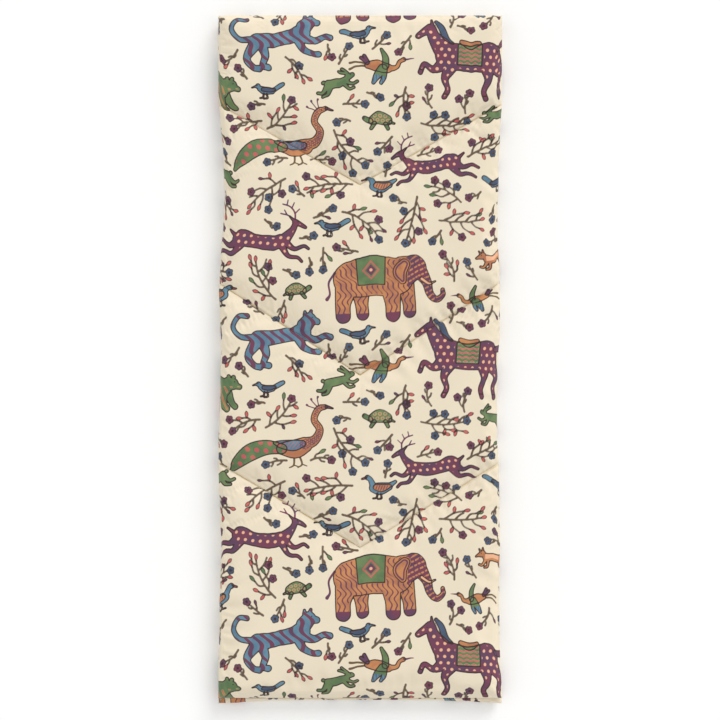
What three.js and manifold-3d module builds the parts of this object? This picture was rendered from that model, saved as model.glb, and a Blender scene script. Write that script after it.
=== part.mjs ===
// A rectangular two-quilt sleeping bag, lying closed and flat on its back.
// Millimetres, +Z up. The origin is on the ground under the middle of the bag.
// The mouth faces +Y and the foot -Y.
// The quilts share a fold along the -X side. A two-way zip closes the +X side and the foot.
// The lower quilt is the upper one mirrored about the middle height, so one set of formulas shapes both.
import * as THREE from "three";
import Module from "manifold-3d";

const wasm = await Module();
wasm.setup();

// ---- Driving dimensions ----
const bagLength = 1900;
const bagWidth = 784;
const quiltLoft = 28; // thickness of one quilt between its stitch lines
const sleepGap = 8; // room left between the two linings

const shellThickness = 1;
const liningThickness = 0.8;
const clearance = 0.4; // between neighbouring layers
const edgeRadius = 22; // how far in from its edge a quilt reaches full loft
const grooveReach = 60; // distance over which the loft recovers from a stitch line
const grooveFlat = 1.5; // half the width of the flat bottom of a stitch line
const hemDepth = 4; // the mouth hems take over from the cloth here
const upperFootSetback = 18; // the lower quilt's foot shows past the upper one's

// Each stitch line is a V: where it meets the sides and where its point lies, measured from the mouth.
const seamSides = [246, 737, 1232];
const seamPoints = [467, 991, 1466];

const zipInset = 8; // from the upper quilt's outline to the middle of the zip chain
const tapeThickness = 1;
const tapeWidth = 7; // of the part of a tape that is not sewn in
const coilHeight = 3; // of one half of the chain
const coilThickness = 2.4;
const chainHalfGap = 1; // the slider's web runs between the two halves

// ---- Heights and edges that follow from them ----
const halfWidth = bagWidth / 2;
const halfLength = bagLength / 2;
const midZ = quiltLoft + sleepGap / 2; // the height that the two quilts mirror about
const topZ = 2 * midZ;
const shellEdgeZ = midZ + 13; // where a quilt's shell meets its edge seam, and the bottom of its grooves
const liningEdgeZ = midZ + 10.5;
const sideEdgeX = halfWidth - clearance;
const mouthEdgeY = halfLength - hemDepth;
const upperFootY = -halfLength + upperFootSetback;
const sideChainX = halfWidth - zipInset;
const footChainY = upperFootY + zipInset;
const chainTopZ = midZ + chainHalfGap + coilHeight;

// ---- Materials ----
function cloth(color, roughness) {
  return new THREE.MeshStandardMaterial({ color, roughness, metalness: 0 });
}
const shellCloth = cloth(0xeaddc4, 0.75);
const liningCloth = cloth(0xd9c9a6, 0.8);
const fillFibre = cloth(0xf4f2ec, 1);
const thread = cloth(0xe6d6b4, 0.7);
const tapeCloth = cloth(0xcdb98f, 0.85);
const coilPlastic = cloth(0xb59c6e, 0.45);
const ribbonCloth = cloth(0x6b3c55, 0.8);
const zipMetal = new THREE.MeshStandardMaterial({ color: 0xa88a5a, roughness: 0.35, metalness: 0.9 });

const bag = new THREE.Group();

function addNode(name, geometry, material, parent = bag) {
  const mesh = new THREE.Mesh(geometry, material);
  mesh.name = name;
  parent.add(mesh);
}

// ---- Quilt surfaces, as functions of the plan ----
// Rises from 0 at an edge to 1 at the given reach, along a quarter ellipse.
function quarterRise(distance, reach) {
  const left = 1 - Math.min(Math.max(distance, 0) / reach, 1);
  return Math.sqrt(1 - left * left);
}

function footEdgeY(upper) {
  return clearance + (upper ? upperFootY : -halfLength);
}

function stitchY(k, x) {
  const depth = seamPoints[k] - seamSides[k];
  return halfLength - seamPoints[k] + (depth * Math.abs(x)) / halfWidth;
}

function edgeRise(x, y, upper) {
  const side = quarterRise(sideEdgeX - Math.abs(x), edgeRadius);
  const mouth = quarterRise(mouthEdgeY - y, edgeRadius);
  return side * mouth * quarterRise(y - footEdgeY(upper), edgeRadius);
}

// The outer face of the upper quilt: a dome with rounded edges, pulled in along each stitch line.
function shellZ(x, y, upper) {
  const nearest = Math.min(...[0, 1, 2].map((k) => Math.abs(y - stitchY(k, x))));
  const rise = edgeRise(x, y, upper) * quarterRise(nearest - grooveFlat, grooveReach);
  return shellEdgeZ + (topZ - shellEdgeZ) * rise;
}

// The cloth's under face, one thickness below and one thickness in from the outer face.
function shellUnderZ(x, y, upper) {
  const t = shellThickness;
  const around = [[x - t, y], [x + t, y], [x, y - t], [x, y + t]];
  return Math.min(...around.map(([px, py]) => shellZ(px, py, upper)), shellZ(x, y, upper) - t);
}

// The inner face of the upper quilt, which the lining follows.
function liningZ(x, y, upper) {
  return liningEdgeZ + (midZ + sleepGap / 2 - liningEdgeZ) * edgeRise(x, y, upper);
}

// ---- Grid solids ----
// A closed solid over a grid. columns are x values, rows are functions that give y at x, from the mouth down.
// heights(x, y) gives the upper and the lower z.
function layerSolid(columns, rows, heights) {
  const across = columns.length;
  const points = rows.flatMap((row) => columns.map((x) => [x, row(x), ...heights(x, row(x))]));
  const count = points.length;
  const uppers = points.flatMap(([x, y, high]) => [x, y, high]);
  const lowers = points.flatMap(([x, y, , low]) => [x, y, low]);
  const faces = [];
  const quad = (a, b, c, d) => faces.push(a, b, c, a, c, d);
  const last = (rows.length - 1) * across;
  for (let i = 0; i < rows.length - 1; i++) {
    const left = i * across;
    const right = left + across - 1;
    for (let a = left; a < right; a++) {
      quad(a, a + across, a + across + 1, a + 1);
      quad(count + a, count + a + 1, count + a + across + 1, count + a + across);
    }
    quad(left + across, left, count + left, count + left + across);
    quad(right, right + across, count + right + across, count + right);
  }
  for (let j = 0; j < across - 1; j++) {
    quad(j, j + 1, count + j + 1, count + j);
    quad(last + j + 1, last + j, count + last + j, count + last + j + 1);
  }
  const geometry = new THREE.BufferGeometry();
  geometry.setAttribute("position", new THREE.Float32BufferAttribute([...uppers, ...lowers], 3));
  geometry.setIndex(faces);
  return geometry;
}

// Columns at these distances in from each side, mirrored about the middle.
function mirroredColumns(distances) {
  const left = distances.map((d) => d - halfWidth);
  return [...left, 0, ...left.map((x) => -x).reverse()];
}
const shellColumns = mirroredColumns([clearance, 1.5, 5, 12, 25, 130, 260]);
const innerColumns = mirroredColumns([12, 25, 130, 260]);
const edgeSteps = [0, 1.1, 4.6, 11.6, 25];
const grooveSteps = [1.5, 4, 12, 30, 61.5];

// Rows between the mouth and the foot that follow the stitch lines, so that every groove has its own rows.
function shellRows(upper) {
  const mouthRows = edgeSteps.map((d) => () => mouthEdgeY - d);
  const footRows = [...edgeSteps].reverse().map((d) => () => footEdgeY(upper) + d);
  const seamRows = [0, 1, 2].flatMap((k) => {
    const before = [...grooveSteps].reverse().map((d) => (x) => stitchY(k, x) + d);
    const after = grooveSteps.map((d) => (x) => stitchY(k, x) - d);
    return [...before, ...after];
  });
  return [...mouthRows, ...seamRows, ...footRows];
}

function shellGeometry(upper) {
  return layerSolid(shellColumns, shellRows(upper), (x, y) => [shellZ(x, y, upper), shellUnderZ(x, y, upper)]);
}

// The lining stops short of the zip on the +X side and at the foot.
const liningZipGap = 5;
function liningGeometry(upper) {
  const columns = mirroredColumns([2.4, 5, 13, 25, 200]).slice(0, -2);
  const mouthRows = edgeSteps.map((d) => () => mouthEdgeY - d);
  const rows = [...mouthRows, () => 0, () => footChainY + liningZipGap + 20, () => footChainY + liningZipGap];
  return layerSolid(columns, rows, (x, y) => {
    const z = liningZ(x, y, upper);
    return [z + liningThickness, z];
  });
}

// One baffle of filling, between the shell and the lining and between two stitch lines.
const batFloorZ = midZ + sleepGap / 2 + 2.8;
const batFootY = footChainY + 4;
function fillGeometry(baffle, upper) {
  const far = grooveSteps.slice(1);
  const near = [...far].reverse();
  const mouthRows = edgeSteps.slice(-2).map((d) => () => mouthEdgeY - d);
  const footRows = [13.4, 0].map((d) => () => batFootY + d);
  const start = baffle === 0 ? mouthRows : far.map((d) => (x) => stitchY(baffle - 1, x) - d);
  const end = baffle === 3 ? footRows : near.map((d) => (x) => stitchY(baffle, x) + d);
  return layerSolid(innerColumns, [...start, ...end], (x, y) => [
    shellUnderZ(x, y, upper) - clearance,
    batFloorZ,
  ]);
}

// The line of quilting thread that lies in the bottom of a groove.
const threadHeight = 0.8;
function threadGeometry(k, upper) {
  const halfThread = 0.7;
  const rows = [halfThread, -halfThread].map((d) => (x) => stitchY(k, x) + d);
  return layerSolid(innerColumns, rows, (x, y) => {
    const z = shellZ(x, y, upper) + clearance;
    return [z + threadHeight, z];
  });
}

// ---- Bars with a rounded section, for hems, tapes, coils and draft tubes ----
// A section is [across low, across high, z low, z high].
function sectionShape([low, high, zLow, zHigh], corner) {
  const shape = new THREE.Shape();
  if (corner === 0) {
    const corners = [[low, zLow], [high, zLow], [high, zHigh], [low, zHigh]];
    shape.setFromPoints(corners.map((p) => new THREE.Vector2(...p)));
    return shape;
  }
  shape.moveTo(low + corner, zLow);
  shape.absarc(high - corner, zLow + corner, corner, -Math.PI / 2, 0);
  shape.absarc(high - corner, zHigh - corner, corner, 0, Math.PI / 2);
  shape.absarc(low + corner, zHigh - corner, corner, Math.PI / 2, Math.PI);
  shape.absarc(low + corner, zLow + corner, corner, Math.PI, 1.5 * Math.PI);
  return shape;
}

// A bar along Y: its section stands across X.
function barAlongY(start, end, section, corner = 0) {
  const options = { depth: end - start, bevelEnabled: false, curveSegments: 3 };
  const geometry = new THREE.ExtrudeGeometry(sectionShape(section, corner), options);
  geometry.rotateX(Math.PI / 2);
  geometry.translate(0, end, 0);
  return geometry;
}

// A bar along X: its section stands across Y. A quarter turn carries X to -Y, so the section is given mirrored.
function barAlongX(start, end, section, corner = 0) {
  const turned = [-section[1], -section[0], section[2], section[3]];
  return barAlongY(start, end, turned, corner).rotateZ(-Math.PI / 2);
}

// ---- The two quilts ----
// Upper-quilt geometry stays as it is. The lower quilt's is mirrored about the middle height.
function place(name, geometry, material, upper) {
  if (upper) {
    addNode(name, geometry, material);
    return;
  }
  const mirrored = geometry.index ? geometry.toNonIndexed() : geometry;
  mirrored.scale(1, 1, -1);
  mirrored.translate(0, 0, topZ);
  const position = mirrored.getAttribute("position");
  const count = position.count;
  const reversed = new Float32Array(3 * count);
  for (let i = 0; i < count; i++) {
    const from = count - 1 - i;
    reversed.set([position.getX(from), position.getY(from), position.getZ(from)], 3 * i);
  }
  const flipped = new THREE.BufferGeometry();
  flipped.setAttribute("position", new THREE.BufferAttribute(reversed, 3));
  addNode(name, flipped, material);
}

const chainEnds = { side: [-halfLength + 40, halfLength - 44], foot: [-halfWidth + 56, halfWidth - 22] };
const tapeEnds = { side: [-halfLength + 34, halfLength - 12], foot: [-halfWidth + 12, halfWidth - 12] };
const pinEnds = [-halfWidth + 16, -halfWidth + 34];
const boxEnds = [-halfWidth + 16, -halfWidth + 27];
const stopEnds = [halfLength - 22, halfLength - 17];

for (const upper of [true, false]) {
  const quilt = upper ? "top" : "bottom";
  place(`${quilt}_shell`, shellGeometry(upper), shellCloth, upper);
  place(`${quilt}_lining`, liningGeometry(upper), liningCloth, upper);
  for (const baffle of [0, 1, 2, 3])
    place(`${quilt}_fill_${baffle + 1}`, fillGeometry(baffle, upper), fillFibre, upper);
  for (const k of [0, 1, 2]) place(`${quilt}_stitch_${k + 1}`, threadGeometry(k, upper), thread, upper);

  const hem = [mouthEdgeY + clearance, halfLength, liningEdgeZ - 1, shellEdgeZ + 1];
  place(`${quilt}_mouth_hem`, barAlongX(-sideEdgeX, sideEdgeX, hem, 1.4), shellCloth, upper);

  // The cloth that runs down the fold from the quilt's edge to the middle height.
  const fold = [-sideEdgeX, -sideEdgeX + 1.2, midZ + 0.3, liningEdgeZ - clearance];
  place(`${quilt}_fold_panel`, barAlongY(footEdgeY(upper), mouthEdgeY, fold), shellCloth, upper);

  const tapeZ = [chainTopZ + 0.3, chainTopZ + 0.3 + tapeWidth];
  const sideTape = [sideChainX - tapeThickness / 2, sideChainX + tapeThickness / 2, ...tapeZ];
  const footTape = [footChainY - tapeThickness / 2, footChainY + tapeThickness / 2, ...tapeZ];
  place(`${quilt}_side_zip_tape`, barAlongY(...tapeEnds.side, sideTape), tapeCloth, upper);
  place(`${quilt}_foot_zip_tape`, barAlongX(...tapeEnds.foot, footTape), tapeCloth, upper);

  const coilZ = [midZ + chainHalfGap, chainTopZ];
  const sideCoil = [sideChainX - coilThickness / 2, sideChainX + coilThickness / 2, ...coilZ];
  const footCoil = [footChainY - coilThickness / 2, footChainY + coilThickness / 2, ...coilZ];
  place(`${quilt}_side_zip_coil`, barAlongY(...chainEnds.side, sideCoil, 0.8), coilPlastic, upper);
  place(`${quilt}_foot_zip_coil`, barAlongX(...chainEnds.foot, footCoil, 0.8), coilPlastic, upper);

  const stop = [sideChainX - 1.6, sideChainX + 1.6, midZ + chainHalfGap, chainTopZ];
  place(`${quilt}_zip_stop`, barAlongY(...stopEnds, stop, 0.6), zipMetal, upper);
}

// ---- The zip's separable end, at the fold end of the foot ----
const boxSection = [footChainY - 2.4, footChainY + 2.4, midZ - 3.6, midZ - 0.4];
addNode("zip_retainer_box", barAlongX(...boxEnds, boxSection, 0.8), zipMetal);
const pinSection = [footChainY - 1.2, footChainY + 1.2, midZ + 0.4, chainTopZ - 0.4];
addNode("zip_insertion_pin", barAlongX(...pinEnds, pinSection, 0.8), coilPlastic);

// ---- Draft tubes: padded tubes on the upper lining that lie behind the zip ----
const draftZ = [midZ - sleepGap / 2 + 1.2, midZ + sleepGap / 2 - 0.6];
const draftWidth = 36;
const draftGap = 8; // from the zip chain to the tube
const sideDraft = [sideChainX - draftGap - draftWidth, sideChainX - draftGap, ...draftZ];
const footDraft = [footChainY + draftGap, footChainY + draftGap + draftWidth, ...draftZ];
addNode("side_draft_tube", barAlongY(footDraft[0], halfLength - 20, sideDraft, 2.6), liningCloth);
addNode("foot_draft_tube", barAlongX(-halfWidth + 24, sideDraft[0] - 4, footDraft, 2.6), liningCloth);

// ---- Zip sliders ----
// A slider is drawn about its own middle: its chain runs along Y, its plates face X, and its puller is at +X.
const sliderLength = 14;
const sliderHalfHeight = 6.4;
const plateThickness = 1.3;
const channelHalf = 1.7; // from the chain's middle to a plate
const lipHeight = 1.6;
const webHalf = 0.6;
const tapeSlitHalf = 0.9;
const plateFaceX = channelHalf + plateThickness;
const pivotX = plateFaceX + 1.1; // the axis that the pull tab turns about
const bridgeX = pivotX + 1.1; // the inner face of the bridge over the pull tab's bar
const bridgeHalf = 4;
const bridgeWidth = 1; // half of it
const pullThickness = 1.2;
const pullEnd = -28;

function solidFrom(geometry) {
  const plain = geometry.index ? geometry.toNonIndexed() : geometry;
  const position = plain.getAttribute("position").array;
  const known = new Map();
  const vertices = [];
  const triangles = [];
  for (let i = 0; i < position.length; i += 3) {
    const point = [0, 1, 2].map((c) => Math.round(position[i + c] * 1e4) / 1e4);
    const key = point.join();
    if (!known.has(key)) {
      known.set(key, vertices.length / 3);
      vertices.push(...point);
    }
    triangles.push(known.get(key));
  }
  const vertProperties = new Float32Array(vertices);
  const triVerts = new Uint32Array(triangles);
  return new wasm.Manifold(new wasm.Mesh({ numProp: 3, vertProperties, triVerts }));
}

function geometryFrom(solid) {
  const mesh = solid.getMesh();
  const geometry = new THREE.BufferGeometry();
  geometry.setAttribute("position", new THREE.BufferAttribute(mesh.vertProperties, 3));
  geometry.setIndex(new THREE.BufferAttribute(mesh.triVerts, 1));
  return geometry;
}

function block(xRange, yRange, zRange) {
  const [width, depth, height] = [xRange, yRange, zRange].map(([low, high]) => high - low);
  const [x, y, z] = [xRange, yRange, zRange].map(([low, high]) => (low + high) / 2);
  return solidFrom(new THREE.BoxGeometry(width, depth, height).translate(x, y, z));
}

// Stands an outline, drawn with X along the chain and Y up, at x with the given thickness.
function standing(shape, x, thickness) {
  const options = { depth: thickness, bevelEnabled: false, curveSegments: 5 };
  const geometry = new THREE.ExtrudeGeometry(shape, options);
  geometry.rotateX(Math.PI / 2);
  geometry.rotateZ(Math.PI / 2);
  return geometry.translate(x, 0, 0);
}

// A plate: full height at its front, a little lower at its back, with cut corners.
function plateShape() {
  const half = sliderLength / 2;
  const back = sliderHalfHeight - 1.2;
  const shape = new THREE.Shape();
  shape.moveTo(half, 2 - sliderHalfHeight);
  shape.lineTo(half, sliderHalfHeight - 2);
  shape.lineTo(half - 2, sliderHalfHeight);
  shape.lineTo(0, sliderHalfHeight);
  shape.quadraticCurveTo(-half * 0.6, sliderHalfHeight, -half, back);
  shape.lineTo(-half, -back);
  shape.quadraticCurveTo(-half * 0.6, -sliderHalfHeight, 0, -sliderHalfHeight);
  shape.lineTo(half - 2, -sliderHalfHeight);
  return shape;
}

function sliderGeometry() {
  const half = sliderLength / 2;
  const bite = 0.2; // how far joined blocks sink into each other
  let slider = solidFrom(standing(plateShape(), channelHalf, plateThickness));
  slider = slider.add(solidFrom(standing(plateShape(), -plateFaceX, plateThickness)));
  slider = slider.add(block([-channelHalf - bite, channelHalf + bite], [0, half - 1], [-webHalf, webHalf]));
  for (const sign of [1, -1]) {
    const lipZ = [sign * sliderHalfHeight, sign * (sliderHalfHeight - lipHeight)].sort((a, b) => a - b);
    const lipY = [2 - half, half - 2.5];
    slider = slider.add(block([tapeSlitHalf, plateFaceX - bite], lipY, lipZ));
    slider = slider.add(block([bite - plateFaceX, -tapeSlitHalf], lipY, lipZ));
    const postY = [sign * bridgeHalf, sign * (bridgeHalf - 1)].sort((a, b) => a - b);
    slider = slider.add(block([plateFaceX - bite, bridgeX + 1], postY, [-bridgeWidth, bridgeWidth]));
  }
  const bridge = block([bridgeX, bridgeX + 1.1], [-bridgeHalf, bridgeHalf], [-bridgeWidth, bridgeWidth]);
  return geometryFrom(slider.add(bridge));
}

// The pull tab's bar passes under the bridge, and its two rails pass either side of it. It points along -Y.
function pullTabGeometry() {
  const shape = new THREE.Shape();
  shape.moveTo(0.6, -3);
  shape.lineTo(0.6, 3);
  shape.lineTo(-7, 3.2);
  shape.quadraticCurveTo(-11, 3.4, -13, 3.4);
  shape.lineTo(pullEnd + 4, 3.6);
  shape.absarc(pullEnd + 3.6, 0, 3.6, Math.PI / 2, 1.5 * Math.PI);
  shape.lineTo(-13, -3.4);
  shape.quadraticCurveTo(-11, -3.4, -7, -3.2);
  const window = new THREE.Path();
  const windowCorners = [[-0.6, -1.7], [-6, -1.7], [-6, 1.7], [-0.6, 1.7]];
  window.setFromPoints(windowCorners.map((p) => new THREE.Vector2(...p)));
  const ribbonHole = new THREE.Path();
  ribbonHole.absarc(pullEnd + 3.8, 0, 1.8, 0, 2 * Math.PI, true);
  shape.holes.push(window, ribbonHole);
  return standing(shape, pivotX - pullThickness / 2, pullThickness);
}

// The folded ribbon on the tab, as one flat strap that starts just past the tab's end.
function pullRibbonGeometry() {
  const start = pullEnd - 0.4;
  const end = start - 32;
  const shape = new THREE.Shape();
  shape.moveTo(start, -2.2);
  shape.lineTo(start, 2.2);
  shape.lineTo(end, 2.8);
  shape.absarc(end, 0, 2.8, Math.PI / 2, 1.5 * Math.PI);
  return standing(shape, pivotX - 1, 2);
}

// facing turns the slider from its own frame to its place on the bag.
function addSlider(prefix, x, y, facing) {
  const group = new THREE.Group();
  group.position.set(x, y, midZ);
  group.quaternion.copy(facing);
  bag.add(group);
  addNode(`${prefix}_slider_body`, sliderGeometry(), zipMetal, group);
  addNode(`${prefix}_pull_tab`, pullTabGeometry(), zipMetal, group);
  addNode(`${prefix}_pull_ribbon`, pullRibbonGeometry(), ribbonCloth, group);
}

const parkGap = 10; // from a chain's end to the middle of the slider that is parked past it
addSlider("side", sideChainX, chainEnds.side[1] + parkGap, new THREE.Quaternion());
// At the foot the plates face -Y, and the pull tab points along +X, away from the retainer box.
const footTurn = new THREE.Quaternion().setFromAxisAngle(new THREE.Vector3(1, -1, 0).normalize(), Math.PI);
addSlider("foot", chainEnds.foot[0] - parkGap, footChainY, footTurn);

export default bag;
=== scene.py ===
import math
import bmesh
import bpy
import mathutils
import numpy as np
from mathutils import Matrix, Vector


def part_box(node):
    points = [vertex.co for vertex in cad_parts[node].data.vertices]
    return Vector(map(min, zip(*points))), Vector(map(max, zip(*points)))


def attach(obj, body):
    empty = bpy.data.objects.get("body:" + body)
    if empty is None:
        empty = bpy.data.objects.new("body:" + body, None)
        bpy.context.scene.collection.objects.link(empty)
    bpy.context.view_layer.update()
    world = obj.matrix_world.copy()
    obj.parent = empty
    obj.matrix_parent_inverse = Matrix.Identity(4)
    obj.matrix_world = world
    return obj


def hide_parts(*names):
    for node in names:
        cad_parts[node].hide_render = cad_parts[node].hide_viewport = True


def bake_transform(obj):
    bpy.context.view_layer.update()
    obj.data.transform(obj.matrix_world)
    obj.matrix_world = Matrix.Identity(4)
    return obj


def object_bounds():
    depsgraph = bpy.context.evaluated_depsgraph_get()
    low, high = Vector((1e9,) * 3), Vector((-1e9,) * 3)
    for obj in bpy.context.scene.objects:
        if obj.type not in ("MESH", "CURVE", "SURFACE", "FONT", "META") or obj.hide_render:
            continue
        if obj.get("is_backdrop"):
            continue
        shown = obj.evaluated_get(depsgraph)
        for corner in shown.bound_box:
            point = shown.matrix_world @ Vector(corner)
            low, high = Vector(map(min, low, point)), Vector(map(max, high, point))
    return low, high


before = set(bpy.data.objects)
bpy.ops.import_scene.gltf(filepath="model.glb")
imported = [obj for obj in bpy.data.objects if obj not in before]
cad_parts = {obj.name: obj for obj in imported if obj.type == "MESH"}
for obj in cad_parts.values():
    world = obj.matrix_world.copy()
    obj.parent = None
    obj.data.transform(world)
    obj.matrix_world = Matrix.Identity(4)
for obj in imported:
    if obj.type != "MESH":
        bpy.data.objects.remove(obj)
cadLow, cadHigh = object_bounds()
print("frame loaded")

# Everything below is worked out in millimetres and turned to metres where a mesh is made.
mm = 0.001


def nodeBox(node):
    # The low and high corners of a frame part.
    low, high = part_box(node)
    return np.array(low) / mm, np.array(high) / mm


# The bag's driving places, read from the frame.
halfWidth = cadHigh.x / mm
mouthY = cadHigh.y / mm
topZ = cadHigh.z / mm
midZ = topZ / 2
halfLength = mouthY
footY = {True: nodeBox("top_shell")[0][1], False: nodeBox("bottom_shell")[0][1]}
sideChain = (nodeBox("top_side_zip_tape")[0] + nodeBox("top_side_zip_tape")[1]) / 2
footChain = (nodeBox("top_foot_zip_tape")[0] + nodeBox("top_foot_zip_tape")[1]) / 2
seamLines = []
halfSeam = 0.7
for k in (1, 2, 3):
    low, high = nodeBox(f"top_stitch_{k}")
    point, rise = low[1] + halfSeam, high[1] - low[1] - 2 * halfSeam
    seamLines.append((point, point + rise * halfWidth / high[0]))  # y at the middle, y at the sides
quiltName = {True: "top", False: "bottom"}  # every function below takes upper=True for the upper quilt

# Camera, light and floor, in metres and degrees.
stageLook = {
    "lens": 85.0, "sensor": 36.0, "frameWidth": 1.989, "farClip": 50.0,
    "keyStrength": 1.25, "keyAngle": 30.0, "keyFrom": (0.5, 0.9, 0.58), "sky": 0.84,
    "floor": "fdfdfc", "floorReach": 6.0, "floorDrop": 0.001, "floorRoughness": 0.9,
}


def srgbToLinear(code):
    # A hex colour as linear red, green, blue and alpha.
    parts = [int(code[i:i + 2], 16) / 255 for i in (0, 2, 4)]
    return tuple(c / 12.92 if c <= 0.04045 else ((c + 0.055) / 1.055) ** 2.4 for c in parts) + (1.0,)


def addNode(tree, kind, settings=None, inputs=None):
    # Adds one shader node. Settings are its properties, and an input is a value or another node's output.
    node = tree.nodes.new(kind)
    for name, value in (settings or {}).items():
        setattr(node, name, value)
    for name, value in (inputs or {}).items():
        if isinstance(value, bpy.types.NodeSocket):
            tree.links.new(value, node.inputs[name])
        else:
            node.inputs[name].default_value = value
    return node


def newMaterial(name):
    material = bpy.data.materials.new(name)
    material.use_nodes = True
    tree = material.node_tree
    tree.nodes.clear()
    shader = addNode(tree, "ShaderNodeBsdfPrincipled")
    addNode(tree, "ShaderNodeOutputMaterial", inputs={"Surface": shader.outputs[0]})
    return material, tree, shader


def makeStage():
    scene = bpy.context.scene
    camera = bpy.data.objects.new("camera", bpy.data.cameras.new("camera"))
    camera.data.lens = stageLook["lens"]
    camera.data.sensor_width = stageLook["sensor"]
    distance = stageLook["frameWidth"] * stageLook["lens"] / stageLook["sensor"]
    camera.location = (0, 0, distance + midZ * mm)
    camera.data.clip_end = stageLook["farClip"]
    scene.collection.objects.link(camera)
    scene.camera = camera
    key = bpy.data.objects.new("keyLight", bpy.data.lights.new("keyLight", "SUN"))
    key.data.energy = stageLook["keyStrength"]
    key.data.angle = math.radians(stageLook["keyAngle"])
    key.rotation_euler = mathutils.Vector(stageLook["keyFrom"]).to_track_quat("Z", "Y").to_euler()
    scene.collection.objects.link(key)
    world = bpy.data.worlds.new("studio")
    world.use_nodes = True
    sky = world.node_tree.nodes["Background"]
    sky.inputs["Color"].default_value = (1, 1, 1, 1)
    sky.inputs["Strength"].default_value = stageLook["sky"]
    scene.world = world
    scene.view_settings.view_transform = "Standard"
    floorMesh = bpy.data.meshes.new("floor")
    reach = stageLook["floorReach"]
    corners = [(-reach, -reach, 0), (reach, -reach, 0), (reach, reach, 0), (-reach, reach, 0)]
    floorMesh.from_pydata(corners, [], [(0, 1, 2, 3)])
    floor = bpy.data.objects.new("floor", floorMesh)
    floor.location.z = -stageLook["floorDrop"]
    scene.collection.objects.link(floor)
    material, _, shader = newMaterial("paintedStudioFloor")
    shader.inputs["Base Color"].default_value = srgbToLinear(stageLook["floor"])
    shader.inputs["Roughness"].default_value = stageLook["floorRoughness"]
    floorMesh.materials.append(material)
    floor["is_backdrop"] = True
    print("stage made")


makeStage()

# Inks in printing order. Each is a field: the distance in mm to the inked area's edge, negative inside it.
inks = {"stem": "6b5439", "orange": "c58654", "blue": "64889c", "slate": "495a73", "green": "6a8052",
        "coral": "c9655e", "plum": "733a50", "pale": "eab18b", "line": "35211f"}
# Each main ink shifts towards a second tone in places, as layered inks do.
secondTones = {"plum": "5d3c57", "orange": "b0714e", "blue": "54788f", "slate": "3f4e66",
               "green": "57724b", "coral": "ba5658"}

# The repeat of the print, in mm. Far stands for bare cloth, and eye is the radius of an animal's eye.
printPlan = {
    "width": 960.0, "height": 842.0, "pitch": 1.25, "seed": 11, "outline": 1.6, "eye": 1.9, "far": 60.0,
}
tileShape = (int(printPlan["height"] / printPlan["pitch"]), int(printPlan["width"] / printPlan["pitch"]))
fields = {ink: np.full(tileShape, printPlan["far"], dtype=np.float32) for ink in inks}
taken = np.full(tileShape, printPlan["far"], dtype=np.float32)


def catmullRom(a, b, c, d, t):
    # The cubic from b to c whose slopes there are half the chords a to c and b to d.
    square, cube = 2 * a - 5 * b + 4 * c - d, 3 * b - a - 3 * c + d
    return 0.5 * (2 * b + (c - a) * t + square * t**2 + cube * t**3)


def smoothPath(points, steps=5):
    # Points along a smooth line through the given ones.
    p = np.array(points, dtype=float)
    if len(p) < 3:
        return p
    q = np.vstack([2 * p[0] - p[1], p, 2 * p[-1] - p[-2]])
    t = np.linspace(0, 1, steps, endpoint=False)[:, None]
    spans = [catmullRom(*q[i:i + 4], t) for i in range(len(p) - 1)]
    return np.vstack(spans + [p[-1:]])


def brush(x, y, points, steps=5):
    # Distance to a line drawn through (x, y, half width) points with a brush whose width changes along it.
    path = smoothPath(points, steps)
    best = np.full(x.shape, 1e3, dtype=np.float32)
    if len(path) == 1:
        return np.hypot(x - path[0, 0], y - path[0, 1]) - path[0, 2]
    for (ax, ay, ar), (bx, by, br) in zip(path[:-1], path[1:]):
        dx, dy = bx - ax, by - ay
        t = np.clip(((x - ax) * dx + (y - ay) * dy) / (dx * dx + dy * dy + 1e-9), 0, 1)
        best = np.minimum(best, np.hypot(x - ax - t * dx, y - ay - t * dy) - (ar + (br - ar) * t))
    return best


def brushes(x, y, *lines):
    # Several brush lines as one area: the least of their distances.
    return np.minimum.reduce([brush(x, y, line) for line in lines])


def dots(x, y, pitch, radius):
    # A grid of round dots, every other row shifted by half a pitch.
    row = np.round(y / (pitch * 0.87))
    dx = (x / pitch - 0.5 * (row % 2)) % 1.0 - 0.5
    return np.hypot(dx * pitch, y - row * pitch * 0.87) - radius


def stripes(across, pitch, width):
    # Bands of the given width, one every pitch.
    return np.abs((across / pitch) % 1.0 - 0.5) * pitch - width / 2


def within(field, shape, margin):
    # The part of a field that lies at least the margin inside a shape.
    return np.maximum(field, shape + margin)


def petals(x, y, cx, cy, radius):
    # Five round petals about a centre.
    parts = []
    for k in range(5):
        angle = 0.3 + k * 1.2566
        px, py = cx + 0.58 * radius * np.cos(angle), cy + 0.58 * radius * np.sin(angle)
        parts.append(np.hypot(x - px, y - py) - 0.44 * radius)
    return np.minimum.reduce(parts)


def drop(x, y, ax, ay, bx, by, width):
    # A teardrop bud from a to b, widest past its middle.
    return brush(x, y, [(ax, ay, 1.2), (ax + 0.6 * (bx - ax), ay + 0.6 * (by - ay), width),
                        (bx, by, 0.8)], 3)


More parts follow.
